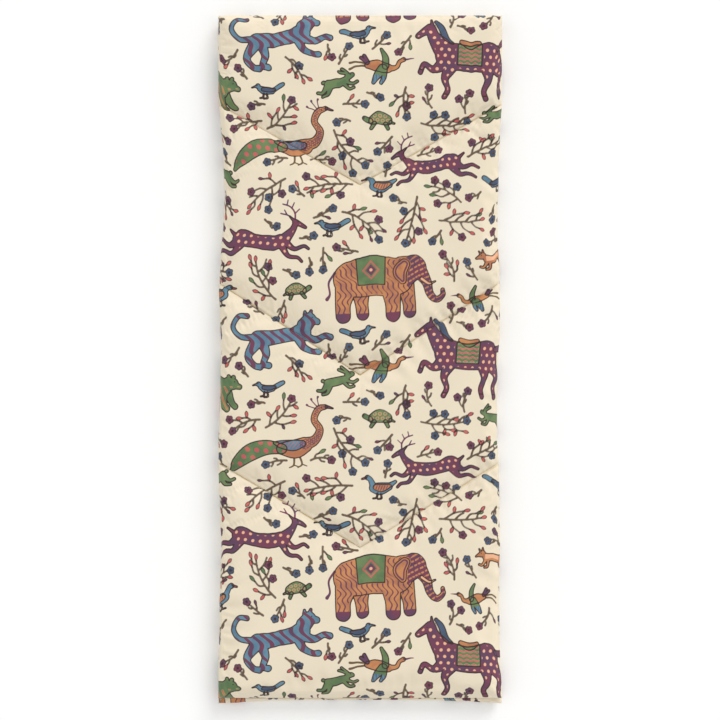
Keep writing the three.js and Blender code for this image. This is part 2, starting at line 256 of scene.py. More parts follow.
def elephant(x, y):
    body = brushes(x, y, [(-72, 0, 44), (-20, 8, 50), (38, 4, 46)], [(60, 16, 38), (84, 24, 32)],
                   [(-84, -16, 28), (-94, -58, 19), (-95, -90, 18)],
                   [(26, -20, 26), (30, -60, 19), (30, -90, 18)])
    far = brushes(x, y, [(-50, -20, 24), (-48, -60, 16), (-46, -86, 15)],
                  [(62, -10, 22), (70, -58, 16), (72, -86, 15)])
    trunk = brush(x, y, [(98, 16, 20), (116, -12, 12), (124, -42, 9), (140, -58, 7.5), (156, -48, 6),
                         (156, -34, 4.5)])
    ear = brushes(x, y, [(62, 34, 13), (50, 16, 17), (56, -6, 9)])
    tail = brush(x, y, [(-112, 18, 3.2), (-128, -6, 2.6), (-126, -34, 2.6), (-134, -48, 4.4)])
    tusk = brush(x, y, [(104, -4, 4), (122, -16, 3.2), (138, -12, 1.6)])
    whole = np.minimum.reduce([body, far, trunk])
    cloth = np.maximum.reduce([body + 0.5, np.abs(x + 22) - 33 - 0.05 * (y + 20), -(y + 14)])
    badge = np.maximum(cloth + 6, np.abs(x + 22) + np.abs(y - 22) * 0.9 - 22)
    bend = x + 9 * np.sin(y / 17) + 0.35 * y
    mark = np.minimum(stripes(bend + 4 * np.sin(y / 5), 13, 3.6), 60)
    keep = np.minimum.reduce([cloth, ear]) * -1 + 2
    head = np.maximum(np.minimum(brushes(x, y, [(60, 16, 38), (84, 24, 32)]), trunk), 66 - x)
    face = np.maximum.reduce([head, -stripes(0.5 * x - y, 13, 5), 3 - ear])
    feet = np.maximum(whole, y + 84)
    return {"orange": np.minimum(whole, ear), "green": cloth, "coral": np.maximum(badge, -(badge + 5)),
            "plum": np.minimum.reduce([np.maximum(within(mark, whole, 4), keep), feet, tail, face,
                                       np.maximum(ear + 4, -(ear + 8)), within(badge, badge, 9)]),
            "pale": np.minimum(tusk, np.hypot(x + 22, y - 22) - 4),
            "line": [whole, ear, cloth, tusk, np.maximum(far, -body)], "eye": (88, 30)}


def deer(x, y):
    body = brushes(x, y, [(-52, 10, 18), (-15, 2, 20), (28, 4, 18), (62, 12, 22), (78, 10, 16)],
                   [(-56, 14, 16), (-76, 40, 9), (-84, 60, 7)],
                   [(-83, 63, 8), (-100, 57, 5.6), (-112, 51, 3.6)],
                   [(-60, 6, 10), (-86, -10, 5.5), (-110, 0, 4), (-124, -6, 3.4)],
                   [(-50, -4, 10), (-70, -30, 5.5), (-96, -33, 4), (-108, -42, 3.4)],
                   [(72, 8, 15), (100, -12, 7), (126, -6, 4.6), (150, -18, 3.6)],
                   [(66, -2, 14), (88, -32, 7), (116, -32, 4.6), (138, -46, 3.6)],
                   [(92, 20, 5), (106, 30, 2.4)],
                   [(-78, 68, 4), (-66, 78, 1.6)])
    antlers = brushes(x, y, [(-82, 68, 2.6), (-80, 88, 2.4), (-66, 104, 2.2), (-44, 110, 2)],
                      [(-80, 86, 2), (-92, 100, 1.8)],
                      [(-70, 100, 2), (-76, 116, 1.8)], [(-56, 107, 2), (-58, 122, 1.8)],
                      [(-78, 70, 2.4), (-62, 80, 2.2), (-40, 84, 2)], [(-58, 82, 2), (-50, 94, 1.8)])
    spots = within(dots(x + 0.2 * y, y, 21, 4.4), body, 5)
    return {"plum": np.minimum(body, antlers), "pale": np.maximum(spots, x - 92), "line": [body],
            "eye": (-90, 64)}


def prowler(x, y):
    # A striped cat with a long tail.
    body = brushes(x, y, [(-60, 4, 21), (-20, 0, 18), (24, 0, 19), (52, 4, 22)],
                   [(62, 18, 19), (78, 30, 17)],
                   [(82, 28, 13), (96, 22, 8)], [(70, 44, 5), (72, 52, 3)], [(84, 44, 5), (88, 51, 3)],
                   [(-70, -4, 15), (-96, -30, 9), (-86, -56, 7), (-72, -64, 8)],
                   [(-52, -8, 13), (-50, -36, 9), (-62, -58, 7), (-50, -66, 8)],
                   [(52, -8, 14), (78, -22, 9), (104, -18, 7), (118, -24, 8)],
                   [(40, -10, 13), (46, -38, 9), (66, -56, 7), (80, -60, 8)])
    tail = brush(x, y, [(-76, 12, 8), (-104, 22, 6), (-116, 50, 5.6), (-96, 72, 5.4), (-74, 68, 6.4)])
    whole = np.minimum(body, tail)
    bend = x + 0.25 * y + 7 * np.sin(y / 9 + x / 40)
    return {"blue": whole, "plum": within(stripes(bend, 24, 10.5), whole, 1.5), "line": [whole],
            "eye": (86, 34)}


def charger(x, y):
    # A prancing horse under a patterned saddle cloth.
    body = brushes(x, y, [(-62, 0, 36), (-10, -6, 32), (38, 2, 34)],
                   [(50, 14, 26), (76, 50, 16), (84, 72, 12)],
                   [(86, 74, 13), (104, 62, 9), (116, 52, 7)], [(82, 84, 4), (84, 98, 2)],
                   [(-78, -14, 24), (-100, -50, 9), (-92, -82, 6), (-98, -104, 6)],
                   [(-58, -20, 20), (-62, -56, 9), (-52, -84, 6), (-58, -104, 6)],
                   [(44, -16, 20), (74, -34, 9), (98, -22, 6), (108, -44, 5.6)],
                   [(30, -20, 18), (46, -56, 9), (38, -84, 6), (46, -104, 6)])
    tail = brush(x, y, [(-92, 16, 7), (-124, 18, 9), (-138, -16, 9), (-130, -50, 5), (-136, -70, 2)])
    mane = brush(x, y, [(72, 92, 4), (58, 74, 7), (46, 46, 7), (30, 34, 3)])
    cloth = np.maximum.reduce([body + 0.5, np.abs(x + 14) - 30, -(y + 22)])
    seat = brush(x, y, [(-36, 34, 5), (-14, 27, 9), (8, 36, 5)])
    spots = np.maximum(within(dots(x, y, 19, 4.2), body, 5), 5 - cloth)
    bands = np.maximum(within(stripes(y + 4 * np.abs(((x / 9) % 2) - 1), 11, 4), cloth, 3), cloth)
    hooves = np.minimum(np.maximum(body, y + 97), within(np.hypot(x - 108, y + 44) - 8, body, 0))
    return {"plum": np.minimum(np.maximum(body, -cloth), tail), "green": np.maximum(cloth, -bands),
            "coral": bands, "orange": seat, "pale": spots, "slate": mane,
            "line": [body, tail, mane, cloth, seat, hooves], "eye": (94, 72)}


def peafowl(x, y):
    # A crested bird with a long curved neck and a trailing tail.
    neck = brush(x, y, [(30, 0, 17), (58, 8, 12), (74, 34, 9), (62, 62, 8), (76, 88, 8), (94, 92, 6)])
    body = brushes(x, y, [(-28, -6, 16), (4, -10, 24), (30, -2, 20)])
    beak = brush(x, y, [(98, 92, 4), (114, 86, 1.4)])
    legs = brushes(x, y, [(0, -30, 3), (-4, -52, 2.4), (-16, -58, 1.8)],
                   [(14, -30, 3), (18, -52, 2.4), (6, -60, 1.8)],
                   [(-4, -52, 1.8), (8, -58, 1.6)], [(18, -52, 1.8), (30, -58, 1.6)])
    crest = brushes(x, y, [(78, 96, 1.6), (76, 114, 1.6), (78, 120, 3.2)],
                    [(74, 94, 1.6), (62, 110, 1.6), (60, 116, 3.2)],
                    [(70, 90, 1.6), (52, 98, 1.6), (47, 102, 3.2)])
    tail = brush(x, y, [(-30, -6, 13), (-70, 2, 19), (-112, -6, 22), (-150, -30, 15), (-170, -52, 5)])
    wing = brush(x, y, [(26, 2, 8), (0, 0, 14), (-30, 6, 10), (-48, 12, 3)])
    eyes = within(dots(x, y + 0.2 * x, 24, 6.5), tail, 3)
    pupils = within(dots(x, y + 0.2 * x, 24, 2.6), tail, 3)
    scales = within(np.maximum(dots(x, y, 11, 5), -dots(x, y, 11, 2.6)), neck, 3)
    return {"orange": np.minimum(neck, body), "plum": np.minimum.reduce([scales, crest, beak]),
            "green": tail,
            "blue": wing, "coral": np.minimum(eyes, within(stripes(x - y, 11, 3), wing, 3)),
            "slate": pupils,
            "stem": legs, "line": [np.minimum(neck, body), tail, wing, beak], "eye": (84, 91)}


def crane(x, y):
    # A flying bird with outstretched legs.
    body = brushes(x, y, [(-34, 4, 9), (-8, 4, 16), (22, 2, 12)],
                   [(24, 2, 9), (44, 8, 6), (50, 24, 5), (60, 32, 6)])
    beak = brush(x, y, [(64, 33, 3.2), (88, 38, 1.2)])
    wing = brushes(x, y, [(8, 0, 12), (-4, -22, 10), (-12, -44, 5)],
                   [(12, -2, 8), (14, -24, 6), (8, -42, 4)])
    farWing = brushes(x, y, [(14, 8, 9), (10, 32, 8), (-4, 54, 4)])
    legs = brushes(x, y, [(-36, 2, 3.4), (-62, -4, 2.8), (-82, -16, 3.6)],
                   [(-34, 8, 3.4), (-62, 8, 2.8), (-84, 2, 3.6)])
    tail = brushes(x, y, [(-36, 10, 5), (-56, 22, 4.5)], [(-36, 12, 5), (-48, 30, 4.5)])
    quills = within(stripes(x + 0.2 * y, 8, 2.6), np.minimum(wing, farWing), 2)
    return {"orange": body, "blue": wing, "green": np.minimum(farWing, within(-y - 22, wing, 0)),
            "plum": np.minimum(tail, beak),
            "slate": quills, "stem": legs, "line": [body, wing, farWing, tail], "eye": (60, 33)}


def bear(x, y):
    body = brushes(x, y, [(-30, 0, 28), (0, 6, 30), (24, 4, 26)], [(44, 14, 20), (58, 14, 15)],
                   [(64, 10, 10), (76, 6, 7)],
                   [(44, 34, 6)], [(58, 32, 6)], [(-36, -16, 17), (-42, -44, 12), (-34, -54, 9)],
                   [(24, -12, 15), (28, -42, 11), (38, -54, 9)])
    far = brushes(x, y, [(-12, -16, 14), (-12, -42, 10), (-4, -52, 8)],
                  [(42, -10, 12), (54, -38, 9), (64, -48, 8)])
    whole = np.minimum(body, far)
    patch = within(stripes(x + 0.5 * y, 22, 8), body, 6)
    return {"green": whole, "orange": np.maximum(patch, y - 8), "over": "orange", "line": [body, whole],
            "eye": (62, 20)}


def hare(x, y):
    body = brushes(x, y, [(-30, 2, 11), (-8, 2, 11), (14, 4, 9)], [(22, 12, 8.5), (32, 14, 6)],
                   [(18, 20, 3.6), (2, 30, 3.4)],
                   [(22, 21, 3.4), (10, 36, 3)], [(-34, -2, 8), (-48, -14, 4.4), (-60, -12, 3.6)],
                   [(-28, -6, 7), (-38, -22, 4), (-50, -24, 3.4)],
                   [(14, 0, 5), (30, -8, 3.6), (42, -4, 3.2)],
                   [(8, -4, 5), (18, -18, 3.6), (30, -18, 3.2)], [(-42, 10, 4.6)])
    return {"green": body, "line": [body], "eye": (28, 16)}


def tortoise(x, y):
    shell = np.maximum(brush(x, y, [(-16, 0, 14), (0, 4, 18), (14, 0, 14)]), -y - 10)
    limbs = brushes(x, y, [(24, -2, 6), (38, 6, 6)], [(-14, -8, 5), (-20, -20, 4)],
                    [(14, -8, 5), (22, -20, 4)],
                    [(-26, -4, 4), (-36, -8, 2)])
    plates = within(np.maximum(dots(x, y, 13, 5), -dots(x, y, 13, 2.4)), shell, 3)
    return {"green": np.minimum(shell, limbs), "orange": plates, "over": "orange", "line": [shell, limbs],
            "eye": (40, 7)}


def songbird(x, y):
    body = brushes(x, y, [(-14, 2, 8), (4, 0, 10), (18, 6, 7)], [(24, 13, 6.5)],
                   [(-18, 4, 6), (-36, 14, 6), (-44, 18, 5)],
                   [(30, 13, 2.6), (40, 10, 1.2)])
    wing = brush(x, y, [(10, 4, 5), (-6, 3, 6), (-22, 6, 2.6)])
    legs = brushes(x, y, [(0, -9, 1.8), (-2, -20, 1.8), (8, -22, 1.6)],
                   [(8, -8, 1.8), (10, -18, 1.8), (18, -20, 1.6)])
    return {"blue": body, "slate": wing, "line": [body, wing, legs], "eye": (26, 15)}


def duck(x, y):
    body = brushes(x, y, [(-24, 4, 11), (0, -2, 17), (18, 0, 13)],
                   [(20, 6, 9), (28, 24, 6.5), (36, 30, 7)], [(-28, 8, 7), (-44, 18, 4)])
    beak = brush(x, y, [(42, 29, 3), (52, 26, 2)])
    wing = brush(x, y, [(12, 2, 8), (-6, 0, 10), (-28, 6, 4)])
    bars = within(stripes(x + 0.4 * y, 7.5, 2.6), wing, 2)
    legs = brushes(x, y, [(-2, -18, 2), (-4, -30, 1.8), (6, -32, 1.8)],
                   [(8, -16, 2), (10, -28, 1.8), (20, -30, 1.8)])
    return {"blue": body, "orange": wing, "over": "orange", "plum": bars, "coral": beak,
            "line": [body, wing, beak, legs], "eye": (37, 32)}


def fox(x, y):
    body = brushes(x, y, [(-30, 0, 10), (0, -2, 10), (22, 2, 10)],
                   [(32, 12, 9), (44, 10, 4.6), (52, 8, 2.4)], [(30, 22, 3), (30, 28, 1.6)],
                   [(38, 20, 3), (41, 26, 1.6)], [(-36, -4, 7), (-44, -20, 3.6), (-54, -22, 3)],
                   [(-28, -6, 6), (-28, -22, 3.6), (-36, -26, 3)],
                   [(22, -6, 6), (34, -18, 3.6), (44, -16, 3)],
                   [(14, -8, 5), (18, -24, 3.6), (28, -26, 3)])
    tail = brush(x, y, [(-38, 4, 5), (-58, 14, 9), (-80, 10, 3)])
    whole = np.minimum(body, tail)
    return {"orange": whole, "plum": within(stripes(x, 11, 3), tail, 2),
            "pale": np.maximum(within(-y - 4, body, 2), np.abs(x) - 24),
            "line": [whole], "eye": (36, 14)}


def place(draw, cx, cy, size=1.0, turn=0.0, flip=False, reach=190.0):
    # Draws a motif about (cx, cy) into every ink's field, wrapping round the tile's edges.
    pitch = printPlan["pitch"]
    span = int(reach * size / pitch)
    col, row = int(round(cx / pitch)), int(round(cy / pitch))
    rows, cols = np.arange(row - span, row + span + 1), np.arange(col - span, col + span + 1)
    gx, gy = np.meshgrid(cols * pitch - cx, rows * pitch - cy)
    c, s = np.cos(np.radians(turn)), np.sin(np.radians(turn))
    x, y = (c * gx + s * gy) / size, (c * gy - s * gx) / size
    if flip:
        x = -x
    window = np.ix_(rows % tileShape[0], cols % tileShape[1])
    drawn = draw(x.astype(np.float32), y.astype(np.float32))
    over = drawn.pop("over", None)
    eye = drawn.pop("eye", None)
    edges = drawn.pop("line", [])
    thin = drawn.pop("thin", [])
    full = np.minimum.reduce([f for f in drawn.values()] + edges)
    if over:
        for ink in drawn:
            if ink != over and ink in ("blue", "slate", "green"):
                drawn[ink] = np.maximum(drawn[ink], -drawn[over])
    if thin:
        drawn["line"] = np.minimum.reduce(thin)
    if edges:
        half = printPlan["outline"] / size
        rims = [np.abs(e) - half for e in edges]
        if eye:
            rims.append(np.hypot(x - eye[0], y - eye[1]) - printPlan["eye"] / size)
        drawn["line"] = np.minimum.reduce(rims)
    for ink, field in drawn.items():
        fields[ink][window] = np.minimum(fields[ink][window], field * size)
    taken[window] = np.minimum(taken[window], full * size)


def sprig(length, twigs, rng):
    # The parts of a flowering twig: a bent stem with side shoots that end in buds, blossoms or leaves.
    bend = rng.uniform(-0.9, 0.9)
    t = np.linspace(0, 1, 6)
    angle = bend * (t - 0.3)
    stemX = np.concatenate([[0], np.cumsum(np.sin(angle[:-1]) * length / 5)])
    stemY = np.concatenate([[0], np.cumsum(np.cos(angle[:-1]) * length / 5)])
    stem = [(stemX[i], stemY[i], 1.9 - 0.5 * t[i]) for i in range(6)]
    parts = {"stems": [stem], "ends": [], "points": []}
    ends = [(stemX[-1], stemY[-1], angle[-1])]
    for k in range(twigs):
        at = (k + 0.8) / (twigs + 0.6)
        i = min(int(at * 5), 4)
        side = 1 if k % 2 else -1
        part = at * 5 - i
        x0, y0 = stemX[i] + (stemX[i + 1] - stemX[i]) * part, stemY[i] + (stemY[i + 1] - stemY[i]) * part
        lean = angle[i] + side * rng.uniform(0.6, 1.15)
        reach = max(rng.uniform(0.22, 0.42) * length * (1.25 - 0.5 * at), 13)
        mid = (x0 + 0.55 * reach * np.sin(lean), y0 + 0.55 * reach * np.cos(lean))
        lean2 = lean - side * rng.uniform(0.2, 0.8)
        tip = (mid[0] + 0.5 * reach * np.sin(lean2), mid[1] + 0.5 * reach * np.cos(lean2))
        parts["stems"].append([(x0, y0, 1.5), (*mid, 1.4), (*tip, 1.3)])
        ends.append((*tip, lean2))
        if reach > 24:
            ends.append((mid[0], mid[1], lean + side * 0.9))
    tips = []
    for n, (ex, ey, lean) in enumerate(ends):
        kind = rng.choice(["bud", "blossom", "plumBlossom", "leaf", "dark"],
                          p=[0.5, 0.18, 0.13, 0.1, 0.09])
        if n == 0 and length < 60:
            kind = rng.choice(["blossom", "plumBlossom"])
        size = {"bud": 18.0, "blossom": 13.0, "plumBlossom": 13.0, "leaf": 21.0, "dark": 14.0}[kind]
        tip = (ex + size * np.sin(lean), ey + size * np.cos(lean))
        near = min([math.hypot(tip[0] - a, tip[1] - b) - c for a, b, c in tips], default=99)
        room = 13 if "lossom" in kind else 5
        if near < room + 2:
            continue
        tips.append((*tip, room))
        parts["ends"].append((kind, ex, ey, *tip))
        parts["points"] += [(ex, ey, 2), (*tip, room)]
    parts["points"] += [(p[0], p[1], 3) for stem in parts["stems"] for p in stem]
    return parts


def drawSprig(parts):
    # Gives the function that draws a sprig's parts, each with a thin line round it.
    def draw(x, y):
        far = np.full(x.shape, printPlan["far"], dtype=np.float32)
        out = {ink: far for ink in ("stem", "coral", "slate", "plum", "green", "pale")}
        lines = []
        stems = brushes(x, y, *parts["stems"])
        out["stem"] = stems
        lines.append(np.abs(stems - 0.5) - 1.0)
        for kind, ax, ay, bx, by in parts["ends"]:
            if kind == "bud":
                shape = drop(x, y, ax, ay, bx, by, 4.6)
                out["coral"] = np.minimum(out["coral"], shape)
                lines.append(np.abs(shape) - 1.15)
            elif kind in ("leaf", "dark"):
                shape = drop(x, y, ax, ay, bx, by, 4.8 if kind == "leaf" else 3.8)
                ink = "green" if kind == "leaf" else "plum"
                out[ink] = np.minimum(out[ink], shape)
                lines.append(np.abs(shape) - 1.15)
            else:
                ink = "slate" if kind == "blossom" else "plum"
                shape = petals(x, y, bx, by, 11.6)
                out[ink] = np.minimum(out[ink], shape)
                out["pale"] = np.minimum(out["pale"], np.hypot(x - bx, y - by) - 2.3)
                lines.append(np.abs(np.hypot(x - bx, y - by) - 3.4) - 0.7)
                lines.append(np.abs(shape) - 1.15)
        out["thin"] = lines
        return out
    return draw


def sampleTile(field, px, py):
    # The nearest value of a tile that repeats in both directions.
    rows = np.round(py / printPlan["pitch"]).astype(int) % tileShape[0]
    cols = np.round(px / printPlan["pitch"]).astype(int) % tileShape[1]
    return field[rows, cols]


# Length, side shoots, tries and the least gap of each size of sprig.
sprigSizes = [
    (118, 7, 900, 9.0), (96, 6, 1400, 8.5), (72, 5, 2000, 8.0), (46, 3, 3000, 7.5), (26, 2, 3000, 7.0),
]


def fillWithSprigs(rng):
    # Sprigs go wherever all of their points lie clear of what is printed already: large ones first.
    for length, twigs, tries, gap in sprigSizes:
        for _ in range(tries):
            cx, cy = rng.uniform(0, printPlan["width"]), rng.uniform(0, printPlan["height"])
            turn = rng.uniform(0, 360)
            if sampleTile(taken, np.array([cx]), np.array([cy]))[0] < gap:
                continue
            parts = sprig(length, twigs, rng)
            pts = np.array(parts["points"]) - (0, length / 2, 0)
            c, s = np.cos(np.radians(turn)), np.sin(np.radians(turn))
            px, py = cx + c * pts[:, 0] - s * pts[:, 1], cy + s * pts[:, 0] + c * pts[:, 1]
            if (sampleTile(taken, px, py) - pts[:, 2]).min() < gap:
                continue
            shift = drawSprig(parts)
            place(lambda x, y: shift(x, y + length / 2), cx, cy, turn=turn, reach=length * 0.75 + 30)


layout = [  # motif, x, y, size, turn, mirrored
    (elephant, 560, 645, 1.1, 2, False), (deer, 240, 742, 1.0, -4, True),
    (prowler, 290, 478, 1.1, 14, False), (charger, 790, 425, 1.1, -2, True),
    (peafowl, 322, 176, 1.04, 6, False), (crane, 560, 395, 1.0, -8, False),
    (bear, 96, 330, 1.0, 0, False), (deer, 700, 110, 0.9, 6, False), (fox, 880, 700, 1.0, 8, True),
    (duck, 110, 590, 1.0, 0, False), (duck, 560, 60, 0.95, 0, True), (hare, 452, 352, 1.1, 12, False),
    (hare, 880, 250, 1.0, -6, True), (hare, 92, 80, 1.1, 4, True), (tortoise, 560, 250, 1.1, 0, True),
    (tortoise, 330, 610, 1.0, 8, False), (songbird, 425, 785, 1.1, 0, True),
    (songbird, 900, 60, 1.1, 0, False), (songbird, 505, 492, 1.1, 10, False),
    (crane, 830, 580, 0.8, 10, True), (songbird, 250, 330, 1.0, 0, True),
]


def printAll():
    for draw, cx, cy, size, turn, flip in layout:
        place(draw, cx, cy, size, turn, flip)
    fillWithSprigs(np.random.default_rng(printPlan["seed"]))
    print("print drawn")


# The quilts' surfaces, in mm. The grid has the coarse spacing, and is refined once the cloth has settled.
quiltPlan = {
    "rollReach": 24.0, "sideZ": 9.0, "rimZ": 0.4, "tuckIn": 6.5, "tuckDrop": 4.5, "mouthTuck": 4.0,
    "grooveReach": 58.0, "grooveFloor": 0.30, "creaseDepth": 1.7, "creaseReach": 3.4,
    "pucker": 1.7, "puckerReach": 30.0, "wander": 1.3, "cloth": 2.2, "heartZ": 10.5,
    "coarse": 10.0, "refine": {True: 5, False: 3},
    # How far each side is drawn in, as (place along the bag from foot to mouth, mm drawn in) points.
    "leftWaist": [(-950, -6), (-830, 3), (-740, 2), (-550, 8), (-460, 8), (-282, -2), (-40, 8),
                  (120, 6), (213, 0), (330, 12), (460, 19), (560, 15), (704, 1), (860, 0), (950, 0)],
    "rightWaist": [(-950, -2), (-810, 6), (-700, 9), (-540, 6), (-310, 8), (-180, 15), (-60, 14),
                   (120, 5), (213, 5), (330, 13), (460, 12), (620, 6), (704, 1), (860, 0), (950, 0)],
}


def quarterRise(t):
    # A quarter circle's rise from 0 to 1.
    return np.sqrt(np.clip(1 - (1 - np.clip(t, 0, 1)) ** 2, 0, 1))


def seamY(k, x):
    # Where a V-shaped stitch line runs: straight from its middle point out to each side.
    middle, side = seamLines[k]
    return middle + (side - middle) * np.abs(x) / halfWidth


def toSeam(x, y):
    # Distance along the bag to the nearest stitch line.
    return np.minimum.reduce([np.abs(y - seamY(k, x)) for k in (0, 1, 2)])


def acrossProfile():
    # Material distance s, plan x and height factor for columns from the fold, over the top, to the zip.
    reach, height = quiltPlan["rollReach"], topZ - midZ - quiltPlan["sideZ"]
    flat = halfWidth - reach
    turn = np.linspace(0, math.pi / 2, 5)
    foldX, foldF = -flat - reach * np.sin(turn), (midZ * np.cos(turn) - quiltPlan["sideZ"]) / height
    zipX, zipF = flat + reach * np.sin(turn), np.cos(turn)
    tuckX = halfWidth - quiltPlan["tuckIn"] * np.array([0.35, 1.0])
    tuckF = -quiltPlan["tuckDrop"] / height * np.array([0.7, 1.0])
    count = int(round(2 * flat / quiltPlan["coarse"]))
    middle = np.linspace(-flat, flat, count + 1)
    x = np.concatenate([foldX[:0:-1], middle, zipX[1:], tuckX])
    f = np.concatenate([foldF[:0:-1], np.ones(count + 1), zipF[1:], tuckF])
    steps = np.hypot(np.diff(x), np.diff(f) * height)
    s = np.concatenate([[0], np.cumsum(steps)])
    return s - s[len(foldX) - 1] - flat, x, f


def alongProfile(upper):
    # The same for rows from the foot to the mouth. Each row is (y at the middle, y at the sides, factor).
    reach, height = quiltPlan["rollReach"], topZ - midZ - quiltPlan["sideZ"]
    turn = np.linspace(0, math.pi / 2, 5)[1:]
    tuckF = -quiltPlan["tuckDrop"] / height * np.array([0.7, 1.0])
    foot = footY[upper] + reach
    mouth = mouthY - reach
    footRoll, mouthRoll = foot - reach * np.sin(turn), mouth + reach * np.sin(turn)
    footTuck = footY[upper] + quiltPlan["tuckIn"] * np.array([0.35, 1.0])
    shelf = np.array([]) if upper else np.array([footY[True] + 5.6, footY[True] - 1.0, footY[True] - 6.0])
    mouthTuck = mouthY - quiltPlan["mouthTuck"] * np.array([0.35, 1.0])
    stops = [(foot, foot)] + [seamLines[k] for k in (2, 1, 0)] + [(mouth, mouth)]
    middle, side = [foot], [foot]
    seamRows = []
    for (m0, s0), (m1, s1) in zip(stops[:-1], stops[1:]):
        count = int(round(max(m1 - m0, s1 - s0) / quiltPlan["coarse"]))
        t = np.arange(1, count + 1) / count
        middle += list(m0 + (m1 - m0) * t)
        side += list(s0 + (s1 - s0) * t)
        seamRows.append(len(middle) - 1)
    ends = [shelf, footTuck[::-1], footRoll[::-1]]
    middle = np.concatenate([*ends, middle, mouthRoll, mouthTuck])
    side = np.concatenate([*ends, side, mouthRoll, mouthTuck])
    f = np.concatenate([np.full(len(shelf), tuckF[-1]), tuckF[::-1], np.cos(turn)[::-1],
                        np.ones(seamRows[-1] + 1), np.cos(turn), tuckF])
    return middle, side, f, np.array(seamRows[:-1]) + len(shelf) + len(tuckF) + len(turn)


def refineLine(values, times):
    # Splits every interval into equal parts.
    index = np.arange(0, (len(values) - 1) * times + 1) / times
    return np.interp(index, np.arange(len(values)), values)


def refineSmooth(grid, times):
    # Cubic (Catmull-Rom) interpolation of a grid along both of its axes.
    for axis in (0, 1):
        g = np.moveaxis(grid, axis, 0)
        n = len(g)
        index = np.arange(0, (n - 1) * times + 1) / times
        i = np.minimum(index.astype(int), n - 2)
        t = (index - i).reshape((-1,) + (1,) * (g.ndim - 1))
        a, b, c, d = g[np.maximum(i - 1, 0)], g[i], g[i + 1], g[np.minimum(i + 2, n - 1)]
        grid = np.moveaxis(catmullRom(a, b, c, d, t), 0, axis)
    return grid


def waist(y, side):
    # How far a side is drawn in: the plan's points smoothed, with small wanders that fade near the ends.
    points = np.array(quiltPlan[side], dtype=float)
    fine = np.linspace(points[0, 0], points[-1, 0], 96)
    soft = np.convolve(np.pad(np.interp(fine, *points.T), 3, mode="edge"), np.ones(7) / 7, mode="valid")
    phase = 0.0 if side == "leftWaist" else 2.1
    wander = np.sin(y / 17.3 + phase) + np.sin(y / 7.9 + 2 * phase) * 0.5 + np.sin(y / 31.0 + phase)
    ends = np.clip((halfLength - np.abs(y) - 150) / 80, 0, 1)
    drawn = np.interp(y, fine, soft) + quiltPlan["wander"] * 0.5 * wander * ends
    return np.maximum(drawn, 0.3) if side == "leftWaist" else drawn


def drawnIn(x, y):
    # The plan x of a point once the sides are drawn in.
    inward = np.where(x < 0, waist(y, "leftWaist"), waist(y, "rightWaist")) * (np.abs(x) / halfWidth) ** 3
    return x - np.sign(x) * inward


def ripple(x, y, seed, length):
    # Soft random waves from -1 to 1: the sum of six sine waves of about one length, in random directions.
    rng = np.random.default_rng(seed)
    total = 0
    for _ in range(6):
        angle, phase, scale = rng.uniform(0, math.pi), rng.uniform(0, 6.3), rng.uniform(0.7, 1.4)
        total = total + np.sin((x * np.cos(angle) + y * np.sin(angle)) * 6.283 * scale / length + phase)
    return total / 3.4


def seamRelief(gx, gy, upper):
    # A sharp crease along each stitch line, and small folds that run out from it and fade.
    gap, folds = np.full(gx.shape, 999.0), np.zeros(gx.shape)
    for k in (0, 1, 2):
        away = gy - seamY(k, gx)
        near = np.abs(away)
        slant = gx + 0.45 * away * np.sign(gx + 0.1)
        seed = 50 + k * 4 + 2 * upper
        wave = ripple(slant, 0 * slant, seed, 23.0) + 0.5 * ripple(slant, 0.3 * away, seed + 1, 41.0)
        folds += wave * np.exp(-near / quiltPlan["puckerReach"]) * np.clip(near / 7, 0, 1)
        gap = np.minimum(gap, near)
    crease = np.exp(-(gap / quiltPlan["creaseReach"]) ** 2)
    return quiltPlan["pucker"] * folds - quiltPlan["creaseDepth"] * crease


def mitred(upper, gx, gy, fx, fy):
    # At the corners the turned-under edges stop where they meet, as a mitre, instead of crossing.
    foot = footY[upper]
    sideIn = np.where(fx < 0, halfWidth - np.abs(gx), 0)
    endIn = np.where(fy[:, None] < 0, np.minimum(gy - foot, mouthY - gy), 0)
    endIn = np.minimum(endIn, quiltPlan["tuckIn"])
    wide = halfWidth - endIn
    newX = np.sign(gx) * np.where(np.abs(gx) > wide, wide + 0.08 * (np.abs(gx) - wide), np.abs(gx))
    low, high = foot + sideIn, mouthY - sideIn * 0.6
    newY = np.where(gy < low, low - 0.08 * (low - gy), gy)
    return newX, np.where(newY > high, high + 0.08 * (newY - high), newY)


def spreadRows(x, middle, side):
    # The plan grid of columns x and rows that run out from middle to side, in a V as the stitch lines do.
    gx = np.broadcast_to(x, (len(middle), len(x)))
    return gx, middle[:, None] + (side - middle)[:, None] * np.minimum(np.abs(gx) / halfWidth, 1)


def quiltSurface(upper, x, fx, rows):
    # Points of the quilt's outer cloth: the height is the product of two edge factors and a groove factor,
    # and the relief of the seams is added to it.
    middle, side, fy = rows
    height = topZ - midZ - quiltPlan["sideZ"]
    gx, gy = mitred(upper, *spreadRows(x, middle, side), fx, fy)
    groove = quarterRise(toSeam(gx, gy) / quiltPlan["grooveReach"])
    groove = quiltPlan["grooveFloor"] + (1 - quiltPlan["grooveFloor"]) * groove
    crown = np.maximum(fx, 0)[None, :] * np.maximum(fy, 0)[:, None]
    factor = crown * groove + np.minimum(np.minimum(fx, 0)[None, :], np.minimum(fy, 0)[:, None])
    z = midZ + quiltPlan["sideZ"] + height * np.maximum(factor,
                                                        (quiltPlan["rimZ"] - quiltPlan["sideZ"]) / height)
    z = z + seamRelief(gx, gy, upper) * np.clip(crown, 0, 1)
    return np.stack([drawnIn(gx, gy), gy, z], axis=-1)


def quadsOf(g):
    # Every cell of a grid of point numbers, as four corners.
    return np.stack([g[:-1, :-1], g[:-1, 1:], g[1:, 1:], g[1:, :-1]], axis=-1).reshape(-1, 4)


